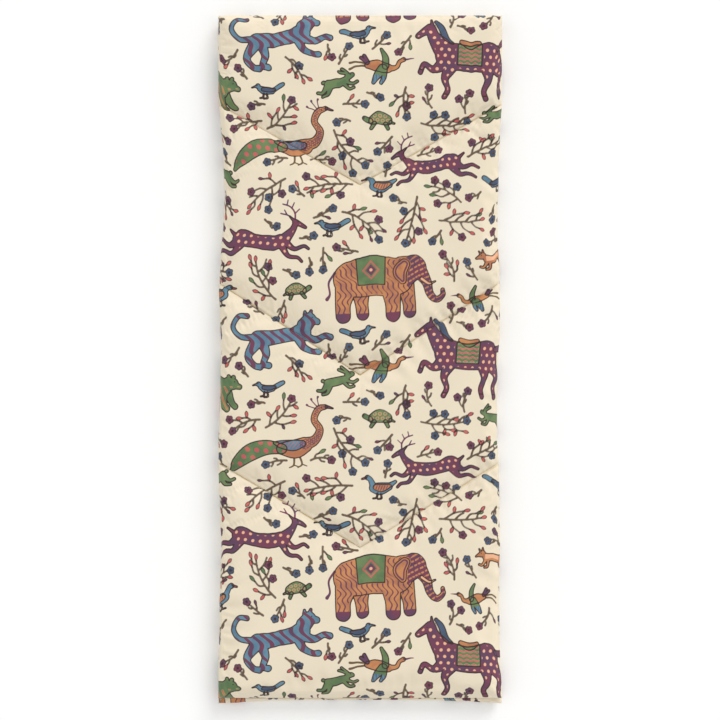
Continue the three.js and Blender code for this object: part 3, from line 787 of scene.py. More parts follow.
def loopOf(g):
    # The point numbers round a grid's border.
    return np.concatenate([g[0, :-1], g[:-1, -1], g[-1, :0:-1], g[:0:-1, 0]])


def turnedOver(points, *faces):
    # The lower quilt's pieces are the upper one's shapes with up and down exchanged.
    return points * (1, 1, -1) + (0, 0, topZ), *[f[:, ::-1] for f in faces]


def meshFrom(name, points, quads, triangles=None):
    # Makes a mesh from points in millimetres and arrays of four- and three-cornered faces.
    triangles = np.zeros((0, 3), dtype=int) if triangles is None else triangles
    mesh = bpy.data.meshes.new(name)
    mesh.vertices.add(len(points))
    mesh.vertices.foreach_set("co", (np.asarray(points) * mm).ravel())
    mesh.loops.add(quads.size + triangles.size)
    corners = np.concatenate([quads.ravel(), triangles.ravel()]).astype(np.int32)
    mesh.loops.foreach_set("vertex_index", corners)
    starts = np.concatenate([np.arange(len(quads)) * 4, quads.size + np.arange(len(triangles)) * 3])
    mesh.polygons.add(len(starts))
    mesh.polygons.foreach_set("loop_start", starts.astype(np.int32))
    mesh.update(calc_edges=True)
    mesh.shade_smooth()
    return mesh


simPlan = {
    "frames": 20, "pressure": 2.0, "growth": 0.014, "cap": 9.0, "quality": 5, "mass": 0.3,
    "stretch": 14, "shear": 4, "bend": 0.12, "pinnedRows": 3,
}


def simulatePuff(points, seamRows):
    # Lets pressed-out cloth with a little spare length settle between its pinned edges and stitch lines.
    rows, cols = points.shape[:2]
    mesh = meshFrom("puffTrial", points.reshape(-1, 3),
                    quadsOf(np.arange(rows * cols).reshape(rows, cols)))
    trial = bpy.data.objects.new("puffTrial", mesh)
    bpy.context.scene.collection.objects.link(trial)
    pinned = np.ones((rows, cols), dtype=bool)
    edge = simPlan["pinnedRows"]
    pinned[edge:-edge, edge:-edge] = False
    pinned[seamRows] = True
    group = trial.vertex_groups.new(name="pin")
    group.add([int(i) for i in np.flatnonzero(pinned.ravel())], 1.0, "REPLACE")
    cloth = trial.modifiers.new("cloth", "CLOTH")
    settings = cloth.settings
    settings.quality = simPlan["quality"]
    settings.mass = simPlan["mass"]
    settings.tension_stiffness = settings.compression_stiffness = simPlan["stretch"]
    settings.shear_stiffness = simPlan["shear"]
    settings.bending_stiffness = simPlan["bend"]
    settings.shrink_min = -simPlan["growth"]
    settings.use_pressure = True
    settings.uniform_pressure_force = simPlan["pressure"]
    settings.effector_weights.gravity = 0
    settings.vertex_group_mass = "pin"
    cloth.point_cache.frame_end = simPlan["frames"]
    for step in range(1, simPlan["frames"] + 1):
        bpy.context.scene.frame_set(step)
    shown = trial.evaluated_get(bpy.context.evaluated_depsgraph_get())
    settled = np.empty(rows * cols * 3)
    shown.data.vertices.foreach_get("co", settled)
    bpy.context.scene.frame_set(1)
    bpy.data.objects.remove(trial)
    bpy.data.meshes.remove(mesh)
    move = settled.reshape(rows, cols, 3) / mm - points
    size = np.linalg.norm(move, axis=-1, keepdims=True)
    return move * np.tanh(size / simPlan["cap"]) * simPlan["cap"] / np.maximum(size, 1e-6)


def closedSheet(name, outer, times, thickness, mirrored=False, heart=None):
    # A closed sheet: the fine outer grid, a coarse grid one thickness behind it, and a rim between them.
    # Behind means along the grid's own normal, or towards the nearest heart point where one is given.
    rows, cols = outer.shape[:2]
    coarse = outer[::times, ::times]
    if heart is None:
        inward = -np.cross(np.gradient(coarse, axis=1), np.gradient(coarse, axis=0))
        step = thickness
    else:
        inward = heart(coarse) - coarse
        step = np.minimum(thickness, 0.6 * np.linalg.norm(inward, axis=-1, keepdims=True))
    inner = coarse + inward / np.maximum(np.linalg.norm(inward, axis=-1, keepdims=True), 1e-9) * step
    points = np.vstack([outer.reshape(-1, 3), inner.reshape(-1, 3)])
    fine = np.arange(rows * cols).reshape(rows, cols)
    back = np.arange(len(coarse) * coarse.shape[1]).reshape(coarse.shape[:2]) + rows * cols
    fineLoop, backLoop = loopOf(fine), loopOf(back)
    corner = np.repeat(backLoop, times)
    rim = np.stack([np.roll(fineLoop, -1), fineLoop, corner], axis=-1)
    seal = np.stack([np.roll(fineLoop, -times)[::times], backLoop, np.roll(backLoop, -1)], axis=-1)
    quads = np.vstack([quadsOf(fine), quadsOf(back)[:, ::-1]])
    triangles = np.vstack([rim, seal])
    if mirrored:
        points, quads, triangles = turnedOver(points, quads, triangles)
    return meshFrom(name, points, quads, triangles)


def addPiece(name, mesh, body, material, replaced=()):
    piece = bpy.data.objects.new(name, mesh)
    bpy.context.scene.collection.objects.link(piece)
    mesh.materials.append(material)
    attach(piece, body)
    if replaced:
        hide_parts(*replaced)
    return piece


# The crease colour is painted shade, laid on the printed cloth along the creases of its seams.
clothLook = {
    "ground": "e8dbc2", "crease": "d6c197", "inkEdge": 0.55, "threadPitch": 1.3, "weaveDepth": 0.22,
    "roughness": 0.82, "sheen": 0.12,
    "lining": "d8c8a4", "batting": "f3f1ea", "thread": "d3c098", "tape": "c9b68e", "teeth": "a98f62",
    "brass": "b08d57", "ribbon": "6f3f5c",
}


def noiseAt(tree, place, scale, detail, distortion=0.0):
    # Soft noise from 0 to 1.
    return addNode(tree, "ShaderNodeTexNoise", inputs={
        "Vector": place, "Scale": scale, "Detail": detail, "Distortion": distortion}).outputs[0]


def remapped(tree, value, low, high, toLow=0.0, toHigh=1.0):
    # The value stretched from low..high to toLow..toHigh, and held at both ends.
    return addNode(tree, "ShaderNodeMapRange", inputs={
        "Value": value, "From Min": low, "From Max": high, "To Min": toLow, "To Max": toHigh}).outputs[0]


def mixedColor(tree, share, first, second, blend="MIX"):
    return addNode(tree, "ShaderNodeMix", {"data_type": "RGBA", "blend_type": blend},
                   {0: share, 6: first, 7: second}).outputs[2]


def product(tree, first, second):
    return addNode(tree, "ShaderNodeMath", {"operation": "MULTIPLY"}, {0: first, 1: second}).outputs[0]


def bumpFrom(tree, height, strength, distance):
    return addNode(tree, "ShaderNodeBump", inputs={
        "Strength": strength, "Distance": distance, "Height": height}).outputs[0]


def weaveBump(tree, pitch, depth, place):
    # Two crossed sets of threads, as rounded ridges one pitch apart.
    waves = []
    for direction in ("X", "Y"):
        wave = addNode(tree, "ShaderNodeTexWave", {"wave_type": "BANDS", "bands_direction": direction}, {
            "Vector": place, "Scale": 0.314 / (pitch * mm), "Distortion": 0.6, "Detail": 1.0})
        waves.append(wave.outputs["Fac"])
    return bumpFrom(tree, product(tree, *waves), strength=depth, distance=0.0006)


def tinted(tree, color, place, scale, amount):
    # The colour, lightened and darkened in soft patches.
    patches = noiseAt(tree, place, scale, detail=4.0)
    shade = remapped(tree, patches, low=0.0, high=1.0, toLow=1 - amount, toHigh=1 + amount)
    return mixedColor(tree, 1.0, color, shade, "MULTIPLY")


def finished(material, tree, shader, color, normal, roughness, sheen=0.0, metallic=0.0):
    # Joins a material's colour, normal and roughness, each a value or a node's output, to its shader.
    for name, value in (("Base Color", color), ("Normal", normal), ("Roughness", roughness)):
        if isinstance(value, bpy.types.NodeSocket):
            tree.links.new(value, shader.inputs[name])
        elif value is not None:
            shader.inputs[name].default_value = value
    shader.inputs["Sheen Weight"].default_value = sheen
    shader.inputs["Metallic"].default_value = metallic
    return material


def printedCotton():
    # Screen-printed plain-weave cotton: flat inks with crisp edges, each over the one before it, and
    # painted shade that darkens the cloth in the creases of its seams.
    material, tree, shader = newMaterial("screenPrintedCotton")
    uv = addNode(tree, "ShaderNodeUVMap", {"uv_map": "cloth"}).outputs[0]
    ground = tinted(tree, srgbToLinear(clothLook["ground"]), uv, scale=9.0, amount=0.05)
    # Painted shade: near each stitch line the ground turns to the darker crease colour, in uneven patches,
    # where the crease lies in shadow.
    gap = addNode(tree, "ShaderNodeAttribute", {"attribute_name": "seamGap"}).outputs["Fac"]
    uneven = remapped(tree, noiseAt(tree, uv, scale=14.0, detail=3.0), low=0.38, high=0.62)
    paintedCreaseShade = product(tree, remapped(tree, gap, low=3.0, high=0.4), uneven)
    color = mixedColor(tree, paintedCreaseShade, ground, srgbToLinear(clothLook["crease"]))
    patches = remapped(tree, noiseAt(tree, uv, scale=26.0, detail=2.0), low=0.42, high=0.6)
    for ink, code in inks.items():
        area = addNode(tree, "ShaderNodeAttribute", {"attribute_name": ink}).outputs["Fac"]
        cover = remapped(tree, area, low=clothLook["inkEdge"], high=-clothLook["inkEdge"])
        tone = srgbToLinear(code)
        if ink in secondTones:
            tone = mixedColor(tree, patches, tone, srgbToLinear(secondTones[ink]))
        color = mixedColor(tree, cover, color, tone)
    weave = weaveBump(tree, clothLook["threadPitch"], clothLook["weaveDepth"], uv)
    return finished(material, tree, shader, color, weave, clothLook["roughness"], clothLook["sheen"])


def wovenCloth(name, code, pitch, depth, space="object"):
    # A plain dyed cloth with visible threads and a little unevenness in its dye.
    material, tree, shader = newMaterial(name)
    if space == "uv":
        place = addNode(tree, "ShaderNodeUVMap", {"uv_map": "cloth"}).outputs[0]
    else:
        place = addNode(tree, "ShaderNodeTexCoord").outputs["Object"]
    color = tinted(tree, srgbToLinear(code), place, scale=8.0, amount=0.07)
    color = tinted(tree, color, place, scale=900.0, amount=0.12)
    threads = weaveBump(tree, pitch, depth, place)
    return finished(material, tree, shader, color, threads, roughness=0.85, sheen=0.15)


def looseFibre():
    # Carded polyester batting: white, fluffy, with tangled strands.
    material, tree, shader = newMaterial("cardedPolyesterBatting")
    place = addNode(tree, "ShaderNodeTexCoord").outputs["Object"]
    color = tinted(tree, srgbToLinear(clothLook["batting"]), place, scale=60.0, amount=0.06)
    tangle = noiseAt(tree, place, scale=160.0, detail=6.0, distortion=2.5)
    strands = bumpFrom(tree, tangle, strength=0.7, distance=0.003)
    return finished(material, tree, shader, color, strands, roughness=0.95, sheen=0.3)


def platedBrass():
    # Die-cast zinc with an antique brass plate, tumbled so that edges and faces catch light unevenly.
    material, tree, shader = newMaterial("antiqueBrassPlate")
    place = addNode(tree, "ShaderNodeTexCoord").outputs["Object"]
    color = tinted(tree, srgbToLinear(clothLook["brass"]), place, scale=500.0, amount=0.18)
    wear = noiseAt(tree, place, scale=900.0, detail=3.0)
    roughness = remapped(tree, wear, low=0.0, high=1.0, toLow=0.26, toHigh=0.5)
    return finished(material, tree, shader, color, None, roughness, metallic=1.0)


def mouldedNylon():
    # Injection-moulded nylon teeth: dyed through, satin, with faint flow marks.
    material, tree, shader = newMaterial("mouldedNylon")
    place = addNode(tree, "ShaderNodeTexCoord").outputs["Object"]
    color = tinted(tree, srgbToLinear(clothLook["teeth"]), place, scale=300.0, amount=0.08)
    flow = noiseAt(tree, place, scale=1400.0, detail=2.0)
    marks = bumpFrom(tree, flow, strength=0.15, distance=0.0001)
    return finished(material, tree, shader, color, marks, roughness=0.42)


shellCloth = printedCotton()
selfCloth = wovenCloth("plainHemCotton", clothLook["ground"], 1.3, 0.12)
liningCloth = wovenCloth("brushedLiningCotton", clothLook["lining"], 1.6, 0.16, "uv")
draftCloth = wovenCloth("brushedDraftCotton", clothLook["lining"], 1.6, 0.16)
batting = looseFibre()
threadCotton = wovenCloth("spunThread", clothLook["thread"], 0.5, 0.2)
tapeCloth = wovenCloth("herringboneZipTape", clothLook["tape"], 0.9, 0.25)
teethNylon = mouldedNylon()
brass = platedBrass()
ribbonCloth = wovenCloth("grosgrainRibbon", clothLook["ribbon"], 0.9, 0.4)
print("materials made")

# Where each shell is cut from the printed cloth: the shift of its middle from the repeat's corner.
printShift = {True: (505.0, 410.0), False: (120.0, 700.0)}


def sampleSmooth(field, px, py):
    # Bilinear sample of a tile that repeats in both directions.
    gx, gy = px / printPlan["pitch"], py / printPlan["pitch"]
    x0, y0 = np.floor(gx).astype(int), np.floor(gy).astype(int)
    tx, ty = gx - x0, gy - y0
    h, w = tileShape
    a, b = field[y0 % h, x0 % w], field[y0 % h, (x0 + 1) % w]
    c, d = field[(y0 + 1) % h, x0 % w], field[(y0 + 1) % h, (x0 + 1) % w]
    return (a * (1 - tx) + b * tx) * (1 - ty) + (c * (1 - tx) + d * tx) * ty


def clothCoordinates(base, s):
    # Each point's place on the cut cloth: across by the edge profile, along by its own column's length.
    steps = np.linalg.norm(np.diff(base[..., 1:], axis=0), axis=-1)
    v = np.vstack([np.zeros((1, base.shape[1])), np.cumsum(steps, axis=0)])
    v = v - v[len(v) // 2][None, :] + base[len(base) // 2, :, 1][None, :]
    return np.broadcast_to(s, v.shape), v


def addClothMap(mesh, u, v):
    # Stores the cloth's own coordinates, in metres, as a UV map.
    layer = mesh.uv_layers.new(name="cloth")
    index = np.empty(len(mesh.loops), dtype=np.int32)
    mesh.loops.foreach_get("vertex_index", index)
    layer.data.foreach_set("uv", (np.stack([u, v], axis=-1)[index] * mm).astype(np.float32).ravel())


def addOuterValues(mesh, name, values, inside):
    # One value for each point of the outer grid, and the same one for every point of the inner grid.
    every = np.full(len(mesh.vertices), inside, dtype=np.float32)
    every[:values.size] = values.ravel()
    mesh.attributes.new(name, "FLOAT", "POINT").data.foreach_set("value", every)


def restFlat(z):
    # Soft upper limit, so that the underside lies flat on the ground where it bulges most.
    softness = 1.5
    return topZ - softness * np.logaddexp(0, (topZ - z) / softness)


def quiltHeart(upper):
    # Gives each point's nearest point on a level inside the quilt, so that its thickness goes inwards.
    reach = quiltPlan["rollReach"]

    def nearestInside(points):
        x = np.clip(points[..., 0], reach - halfWidth, halfWidth - reach)
        y = np.clip(points[..., 1], footY[upper] + reach, mouthY - reach)
        return np.stack([x, y, np.full_like(x, midZ + quiltPlan["heartZ"])], axis=-1)

    return nearestInside


def makeShell(upper):
    # The outer cloth: the quilt's surface plus the settled cloth's moves, with the print's fields on it.
    quilt = quiltName[upper]
    s, x, fx = acrossProfile()
    middle, side, fy, seamRows = alongProfile(upper)
    coarse = quiltSurface(upper, x, fx, (middle, side, fy))
    move = simulatePuff(coarse, seamRows)
    times = quiltPlan["refine"][upper]
    fineRows = [refineLine(a, times) for a in (middle, side, fy)]
    base = quiltSurface(upper, refineLine(x, times), refineLine(fx, times), fineRows)
    outer = base + refineSmooth(move, times)
    if not upper:
        outer[..., 2] = restFlat(outer[..., 2])
    mesh = closedSheet(quilt + "QuiltShell", outer, times, quiltPlan["cloth"],
                       mirrored=not upper, heart=quiltHeart(upper))
    u, v = clothCoordinates(base, refineLine(s, times))
    shiftX, shiftY = printShift[upper]
    sign = 1 if upper else -1
    for ink, field in fields.items():
        addOuterValues(mesh, ink, sampleSmooth(field, sign * u + shiftX, v + shiftY), 40.0)
    # seamGap is each point's distance to the nearest stitch line, which sets where the cloth's painted
    # crease shade lies.
    addOuterValues(mesh, "seamGap", toSeam(base[..., 0], base[..., 1]), 99.0)
    allU = np.concatenate([u.ravel(), u[::times, ::times].ravel()])
    allV = np.concatenate([v.ravel(), v[::times, ::times].ravel()])
    addClothMap(mesh, allU, allV)
    shell = addPiece(quilt + "QuiltShell", mesh, quilt + "_quilt", shellCloth,
                     (quilt + "_shell", quilt + "_fold_panel"))
    print("shell made", quilt, outer.shape)
    return {"fx": fx, "fy": fy, "seamRows": seamRows, "outer": outer, "times": times}


printAll()
quilts = {True: makeShell(True), False: makeShell(False)}

# The linings, as the upper one: heights in mm from the ground, and foldZ is the height at the folded side.
liningPlan = {
    "level": 36.6, "pinch": 5.0, "pinchReach": 52.0, "pucker": 0.9, "loft": 0.5, "thickness": 1.1,
    "foldZ": 32.7, "foldFrom": 372, "foldReach": 17, "columns": 56, "fineness": 2, "flat": (0.80, 1.93),
}


def foldShare(x):
    # From 0 in the quilt to 1 at the folded side, where the inner cloth comes down to the fold.
    return np.clip((-x - liningPlan["foldFrom"]) / liningPlan["foldReach"], 0, 1)


def liningLevel(x, y):
    # Height of the upper lining's visible side: level in the baffles, pinched up to the stitch lines.
    gap = toSeam(x, y)
    rise = liningPlan["pinch"] * (1 - quarterRise(gap / liningPlan["pinchReach"]))
    puckers = ripple(x, 0.3 * y, 5, 26.0) * np.exp(-gap / 32) * np.clip(gap / 6, 0, 1)
    waves = puckers + 0.45 * ripple(x, y, 6, 120.0)
    level = liningPlan["level"] + rise + liningPlan["pucker"] * (1 + waves)
    level = level + liningPlan["loft"] * (1 + ripple(x, 0.35 * y, 7, 58.0)) * np.clip(gap / 40, 0, 1)
    fold = foldShare(x)
    return level * (1 - fold) + (liningPlan["foldZ"] + 0.2 * rise) * fold


def insideRows(upper):
    # The shell's rows over its flat part, with new end rows that stop at the foot tape and the mouth hem.
    middle, side, fy, _ = alongProfile(upper)
    flat = np.flatnonzero(fy >= 1)
    foot = footY[True] + np.array([9.5, 12.0, 16.0, 20.0])
    if not upper:
        foot = np.concatenate([foot, [footY[True] + 23.0]])
    mouth = mouthY - np.array([20.0, 15.0, 11.0, 8.0])
    keep = flat[middle[flat] > foot[-1] + 1]
    return np.concatenate([foot, middle[keep], mouth]), np.concatenate([foot, side[keep], mouth])


def makeLining(upper):
    # The inner cloth: the lining's level over the quilt's drawn-in plan, as a closed sheet.
    quilt = quiltName[upper]
    flat = halfWidth - quiltPlan["rollReach"]
    middleX = np.linspace(-flat, flat, liningPlan["columns"])
    x = np.concatenate([[-389.0, -385.5, -381.0, -375.0], middleX, [374.0, 379.0, 382.6]])
    times = liningPlan["fineness"]
    middle, side = insideRows(upper)
    x, middle, side = refineLine(x, times), refineLine(middle, times), refineLine(side, times)
    gx, gy = spreadRows(x, middle, side)
    points = np.stack([drawnIn(gx, gy), gy, liningLevel(gx, gy)], axis=-1)
    mesh = closedSheet(quilt + "Lining", points[:, ::-1], times, liningPlan["thickness"],
                       mirrored=not upper)
    u, v = gx[:, ::-1], gy[:, ::-1]
    addClothMap(mesh, np.concatenate([u.ravel(), u[::times, ::times].ravel()]),
                np.concatenate([v.ravel(), v[::times, ::times].ravel()]))
    lining = addPiece(quilt + "Lining", mesh, quilt + "_quilt", liningCloth, (quilt + "_lining",))
    print("lining made", quilt)


fillPlan = {"underShell": 3.4, "overLining": 2.2, "fluff": 0.7, "thinnest": 0.5, "edgeFactor": 0.92}


def lowestNear(z):
    # The lowest of each point and its eight neighbours.
    p = np.pad(z, 1, mode="edge")
    return np.minimum.reduce([p[i:i + z.shape[0], j:j + z.shape[1]] for i in range(3) for j in range(3)])


def closedPad(name, over, under, mirrored):
    # A closed shape between two grids of points, with a wall round their borders.
    rows, cols = over.shape[:2]
    a = np.arange(rows * cols).reshape(rows, cols)
    b = a + rows * cols
    la, lb = loopOf(a), loopOf(b)
    rim = np.stack([np.roll(la, -1), la, lb, np.roll(lb, -1)], axis=-1)
    points = np.vstack([over.reshape(-1, 3), under.reshape(-1, 3)])
    quads = np.vstack([quadsOf(a), quadsOf(b)[:, ::-1], rim])
    if mirrored:
        points, quads = turnedOver(points, quads)
    return meshFrom(name, points, quads)


def makeBatts(upper):
    # One fluffy batt for each baffle, from just under the lowest shell point near it to the lining.
    quilt, shell = quiltName[upper], quilts[upper]
    coarse = shell["outer"][::shell["times"], ::shell["times"]]
    cols = np.flatnonzero(shell["fx"] >= fillPlan["edgeFactor"])[::2]
    flat = np.flatnonzero(shell["fy"] >= fillPlan["edgeFactor"])
    stops = [flat[0], *shell["seamRows"], flat[-1]]
    z = lowestNear(coarse[..., 2]) - fillPlan["underShell"]
    for k in range(4):
        a, b = stops[3 - k], stops[4 - k]
        part = coarse[a:b + 1][:, cols]
        x, y = part[..., 0], part[..., 1]
        low = liningLevel(x, y) + liningPlan["thickness"] + fillPlan["overLining"]
        high = z[a:b + 1][:, cols] + fillPlan["fluff"] * (ripple(x, y, 9, 27.0) - 1)
        high = np.maximum(high, low + fillPlan["thinnest"])
        soft = ripple(x, y, 10, 31.0) * fillPlan["fluff"]
        low = np.minimum(low + np.maximum(soft, 0), high - 0.4)
        over, under = np.stack([x, y, high], axis=-1), np.stack([x, y, low], axis=-1)
        mesh = closedPad(f"{quilt}Fill{k + 1}", over, under, not upper)
        batt = addPiece(f"{quilt}Fill{k + 1}", mesh, quilt + "_quilt", batting,
                        (f"{quilt}_fill_{k + 1}",))
    print("batts made", quilt)


def repeatShape(name, local, faces, origins, axes, mirrored=False):
    # One mesh holding a copy of the local shape at every origin, turned to that origin's three axes.
    points = origins[:, None, :] + np.einsum("pk,nkc->npc", local, axes)
    quads = (np.array(faces)[None] + (np.arange(len(origins)) * len(local))[:, None, None]).reshape(-1, 4)
    points = points.reshape(-1, 3)
    if mirrored:
        points, quads = turnedOver(points, quads)
    return meshFrom(name, points, quads)


def ringStack(outline, layers):
    # A closed shape: one outline of (a, b) points repeated at (place, scale) layers along the third axis.
    n = len(outline)
    rings = [np.column_stack([np.full(n, place), np.array(outline) * scale]) for place, scale in layers]
    faces = []
    for i in range(len(layers) - 1):
        faces += [(i * n + j, i * n + (j + 1) % n, (i + 1) * n + (j + 1) % n, (i + 1) * n + j)
                  for j in range(n)]
    last = (len(layers) - 1) * n
    for j in range(1, n - 1, 2):
        faces.append((0, (j + 2) % n, j + 1, j))
        faces.append((last, last + j, last + j + 1, last + (j + 2) % n))
    return np.vstack(rings), faces


stitchPlan = {"length": 3.4, "pitch": 4.8, "radius": 0.5, "proud": 0.1, "reach": 380}


def stitchesAlong(path, up):
    # Evenly spaced places along a path, each with axes along the path, across it, and up.
    steps = np.linalg.norm(np.diff(path, axis=0), axis=-1)
    run = np.concatenate([[0], np.cumsum(steps)])
    at = np.arange(stitchPlan["pitch"], run[-1] - stitchPlan["pitch"], stitchPlan["pitch"])
    place = np.stack([np.interp(at, run, path[:, i]) for i in range(3)], axis=-1)
    ahead = np.stack([np.interp(at + 1.5, run, path[:, i]) for i in range(3)], axis=-1)
    along = ahead - place
    along /= np.linalg.norm(along, axis=-1, keepdims=True)
    across = np.cross(up, along)
    across /= np.linalg.norm(across, axis=-1, keepdims=True)
    return place, np.stack([along, across, np.cross(along, across)], axis=1)


def makeStitches(upper):
    # Each stitch line twice: on the shell's own row of points, and on the lining below it.
    quilt, shell = quiltName[upper], quilts[upper]
    angle = np.arange(6) * math.pi / 3
    outline = np.stack([np.cos(angle), 0.8 * np.sin(angle)], axis=-1) * stitchPlan["radius"]
    half = stitchPlan["length"] / 2
    local, faces = ringStack(outline, [(-half, 0.35), (-0.72 * half, 1), (0.72 * half, 1), (half, 0.35)])
    for k in range(3):
        row = shell["outer"][shell["seamRows"][2 - k] * shell["times"]]
        row = row[np.abs(row[:, 0]) < stitchPlan["reach"]]
        outside = stitchesAlong(row + (0, 0, stitchPlan["proud"]), (0, 0, 1))
        x = np.linspace(2 - stitchPlan["reach"], stitchPlan["reach"] - 6, 400)
        y = seamY(k, x)
        under = np.stack([drawnIn(x, y), y, liningLevel(x, y) - stitchPlan["proud"]], axis=-1)
        inside = stitchesAlong(under, (0, 0, -1))
        mesh = repeatShape(f"{quilt}Stitch{k + 1}", local, faces, np.vstack([outside[0], inside[0]]),
                           np.vstack([outside[1], inside[1]]), mirrored=not upper)
        addPiece(f"{quilt}Stitch{k + 1}", mesh, quilt + "_quilt", threadCotton,
                 (f"{quilt}_stitch_{k + 1}",))
    print("stitches made", quilt)


def loftMesh(name, rings, mirrored=False):
    # A closed tube through rings of points, with a fan of triangles over each end.
    n, m = rings.shape[:2]
    index = np.arange(n * m).reshape(n, m)
    beside = np.roll(index, -1, axis=1)
    quads = np.stack([index[:-1], beside[:-1], beside[1:], index[1:]], axis=-1).reshape(-1, 4)
    points = np.vstack([rings.reshape(-1, 3), rings[0].mean(axis=0), rings[-1].mean(axis=0)])
    first, last = n * m, n * m + 1
    triangles = np.vstack([np.stack([np.full(m, first), beside[0], index[0]], axis=-1),
                           np.stack([np.full(m, last), index[-1], beside[-1]], axis=-1)])
    if mirrored:
        points, quads, triangles = turnedOver(points, quads, triangles)
    return meshFrom(name, points, quads, triangles)


hemPlan = {
    "centreY": 4.6, "centreZ": 38.9, "foldZ": 34.8, "halfY": 5.0, "halfZ": 2.7, "low": -387, "high": 383,
}


def makeHem(upper):
    # A binding folded over the mouth's edge: an oval section swept across, with small puckers along it.
    quilt = quiltName[upper]
    x = np.linspace(hemPlan["low"], hemPlan["high"], 260)
    turn = np.arange(14) * 2 * math.pi / 14
    ends = 0.3 + 0.7 * quarterRise((np.minimum(x - hemPlan["low"], hemPlan["high"] - x) + 1) / 9)
    y0 = mouthY - hemPlan["centreY"] + 0.4 * ripple(x, x * 0, 21, 60.0)
    z0 = hemPlan["centreZ"] + 0.3 * ripple(x, x * 0, 22, 45.0)
    z0 = z0 + (hemPlan["foldZ"] - hemPlan["centreZ"]) * foldShare(x) ** 2
    swell = 1 + 0.07 * ripple(x, x * 0, 23, 9.0)
    y = y0[:, None] + (hemPlan["halfY"] * ends * swell)[:, None] * np.cos(turn)
    z = z0[:, None] + (hemPlan["halfZ"] * ends * swell)[:, None] * np.sin(turn)
    acrossX = np.broadcast_to(drawnIn(x, y0)[:, None], y.shape)
    rings = np.stack([acrossX, y, z], axis=-1)
    mesh = loftMesh(quilt + "MouthHem", rings, mirrored=not upper)
    addPiece(quilt + "MouthHem", mesh, quilt + "_quilt", selfCloth, (quilt + "_mouth_hem",))


zipPlan = {
    "clear": 7.0, "tapeThick": 0.9, "tapeRoot": 386.0, "rootInset": 1.6,
    "footReach": {True: 2.6, False: 0.6}, "toothPitch": 2.9, "toothHalf": 0.62,
}


def chainX(y):
    # The zip keeps straight where it can, and is drawn in only where the quilt's edge would uncover it.
    return sideChain[0] - np.maximum(waist(y, "rightWaist") - zipPlan["clear"], 0)


def tapeSection():
    # The section as (share of the way to its root, offset, height): upright by the teeth, then tucked in.
    t = zipPlan["tapeThick"] / 2
    face = [(0, 33.6), (0, 35.4), (0.05, 38.5), (0.5, 40.2), (1, 41.2)]
    return [(f, -t, z) for f, z in face] + [(f, t, z) for f, z in face[::-1]]


def makeSideTape(upper):
    # The tape's section carried along the side, from the chain to the drawn-in edge of the quilt.
    quilt = quiltName[upper]
    low, high = nodeBox(quilt + "_side_zip_tape")
    y = np.linspace(low[1], high[1], 300)
    edge, root = chainX(y), drawnIn(np.full_like(y, zipPlan["tapeRoot"]), y) - zipPlan["rootInset"]
    wave = 0.12 * ripple(y, y * 0, 31, 24.0)
    lines = []
    for share, offset, z in tapeSection():
        lines.append(np.stack([edge + (root - edge) * share + offset + wave, y, np.full_like(y, z)],
                              axis=-1))
    rings = np.stack(lines, axis=1)
    mesh = loftMesh(quilt + "SideZipTape", rings[:, ::-1], mirrored=not upper)
    addPiece(quilt + "SideZipTape", mesh, quilt + "_quilt", tapeCloth, (quilt + "_side_zip_tape",))


def makeFootTape(upper):
    # The same section carried across the foot.
    quilt = quiltName[upper]
    low, high = nodeBox(quilt + "_foot_zip_tape")
    x = np.linspace(low[0], high[0], 200)
    y0 = footChain[1] + 0.12 * ripple(x, x * 0, 32, 24.0)
    lines = []
    for share, offset, z in tapeSection():
        lines.append(np.stack([x, y0 + zipPlan["footReach"][upper] * share + offset, np.full_like(x, z)],
                              axis=-1))
    rings = np.stack(lines, axis=1)
    mesh = loftMesh(quilt + "FootZipTape", rings, mirrored=not upper)
    addPiece(quilt + "FootZipTape", mesh, quilt + "_quilt", tapeCloth, (quilt + "_foot_zip_tape",))


def toothShape():
    # One moulded tooth: a broad root on the tape, a neck, and a head that hooks past its neighbours.
    left = [(-1.2, 3.4), (-1.25, 1.6), (-0.85, 0.9), (-1.15, 0.0), (-0.7, -0.95)]
    outline = left + [(-x, y) for x, y in left[::-1]]
    half = zipPlan["toothHalf"]
    return ringStack(outline, [(-half, 0.8), (-half * 0.6, 1.0), (half * 0.6, 1.0), (half, 0.8)])


def makeTeeth(upper):
    # A row of teeth along each chain. The two quilts' rows are half a pitch apart, so that they mesh.
    quilt = quiltName[upper]
    local, faces = toothShape()
    pitch = zipPlan["toothPitch"]
    for run, axis in (("Side", 1), ("Foot", 0)):
        node = f"{quilt}_{run.lower()}_zip_coil"
        low, high = nodeBox(node)
        at = np.arange(low[axis] + 1 + (0 if upper else pitch / 2), high[axis] - 1, pitch)
        level = np.full_like(at, midZ)
        if axis == 1:
            spots, directions = np.stack([chainX(at), at, level], axis=-1), [[0, 1, 0], [1, 0, 0],
                [0, 0, 1]]
        else:
            spots, directions = np.stack([at, np.full_like(at, footChain[1]), level], axis=-1), np.eye(3)
        axes = np.broadcast_to(np.array(directions, dtype=float), (len(at), 3, 3))
        outward = [f[::-1] for f in faces] if axis == 1 else faces
        mesh = repeatShape(f"{quilt}{run}ZipTeeth", local, outward, spots, axes, mirrored=not upper)
        addPiece(f"{quilt}{run}ZipTeeth", mesh, quilt + "_quilt", teethNylon, (node,))


tubePlan = {"taper": 22, "slimmest": 0.25, "sideGap": 1.0, "topGap": 0.35, "lift": 0.1, "fill": 0.6}


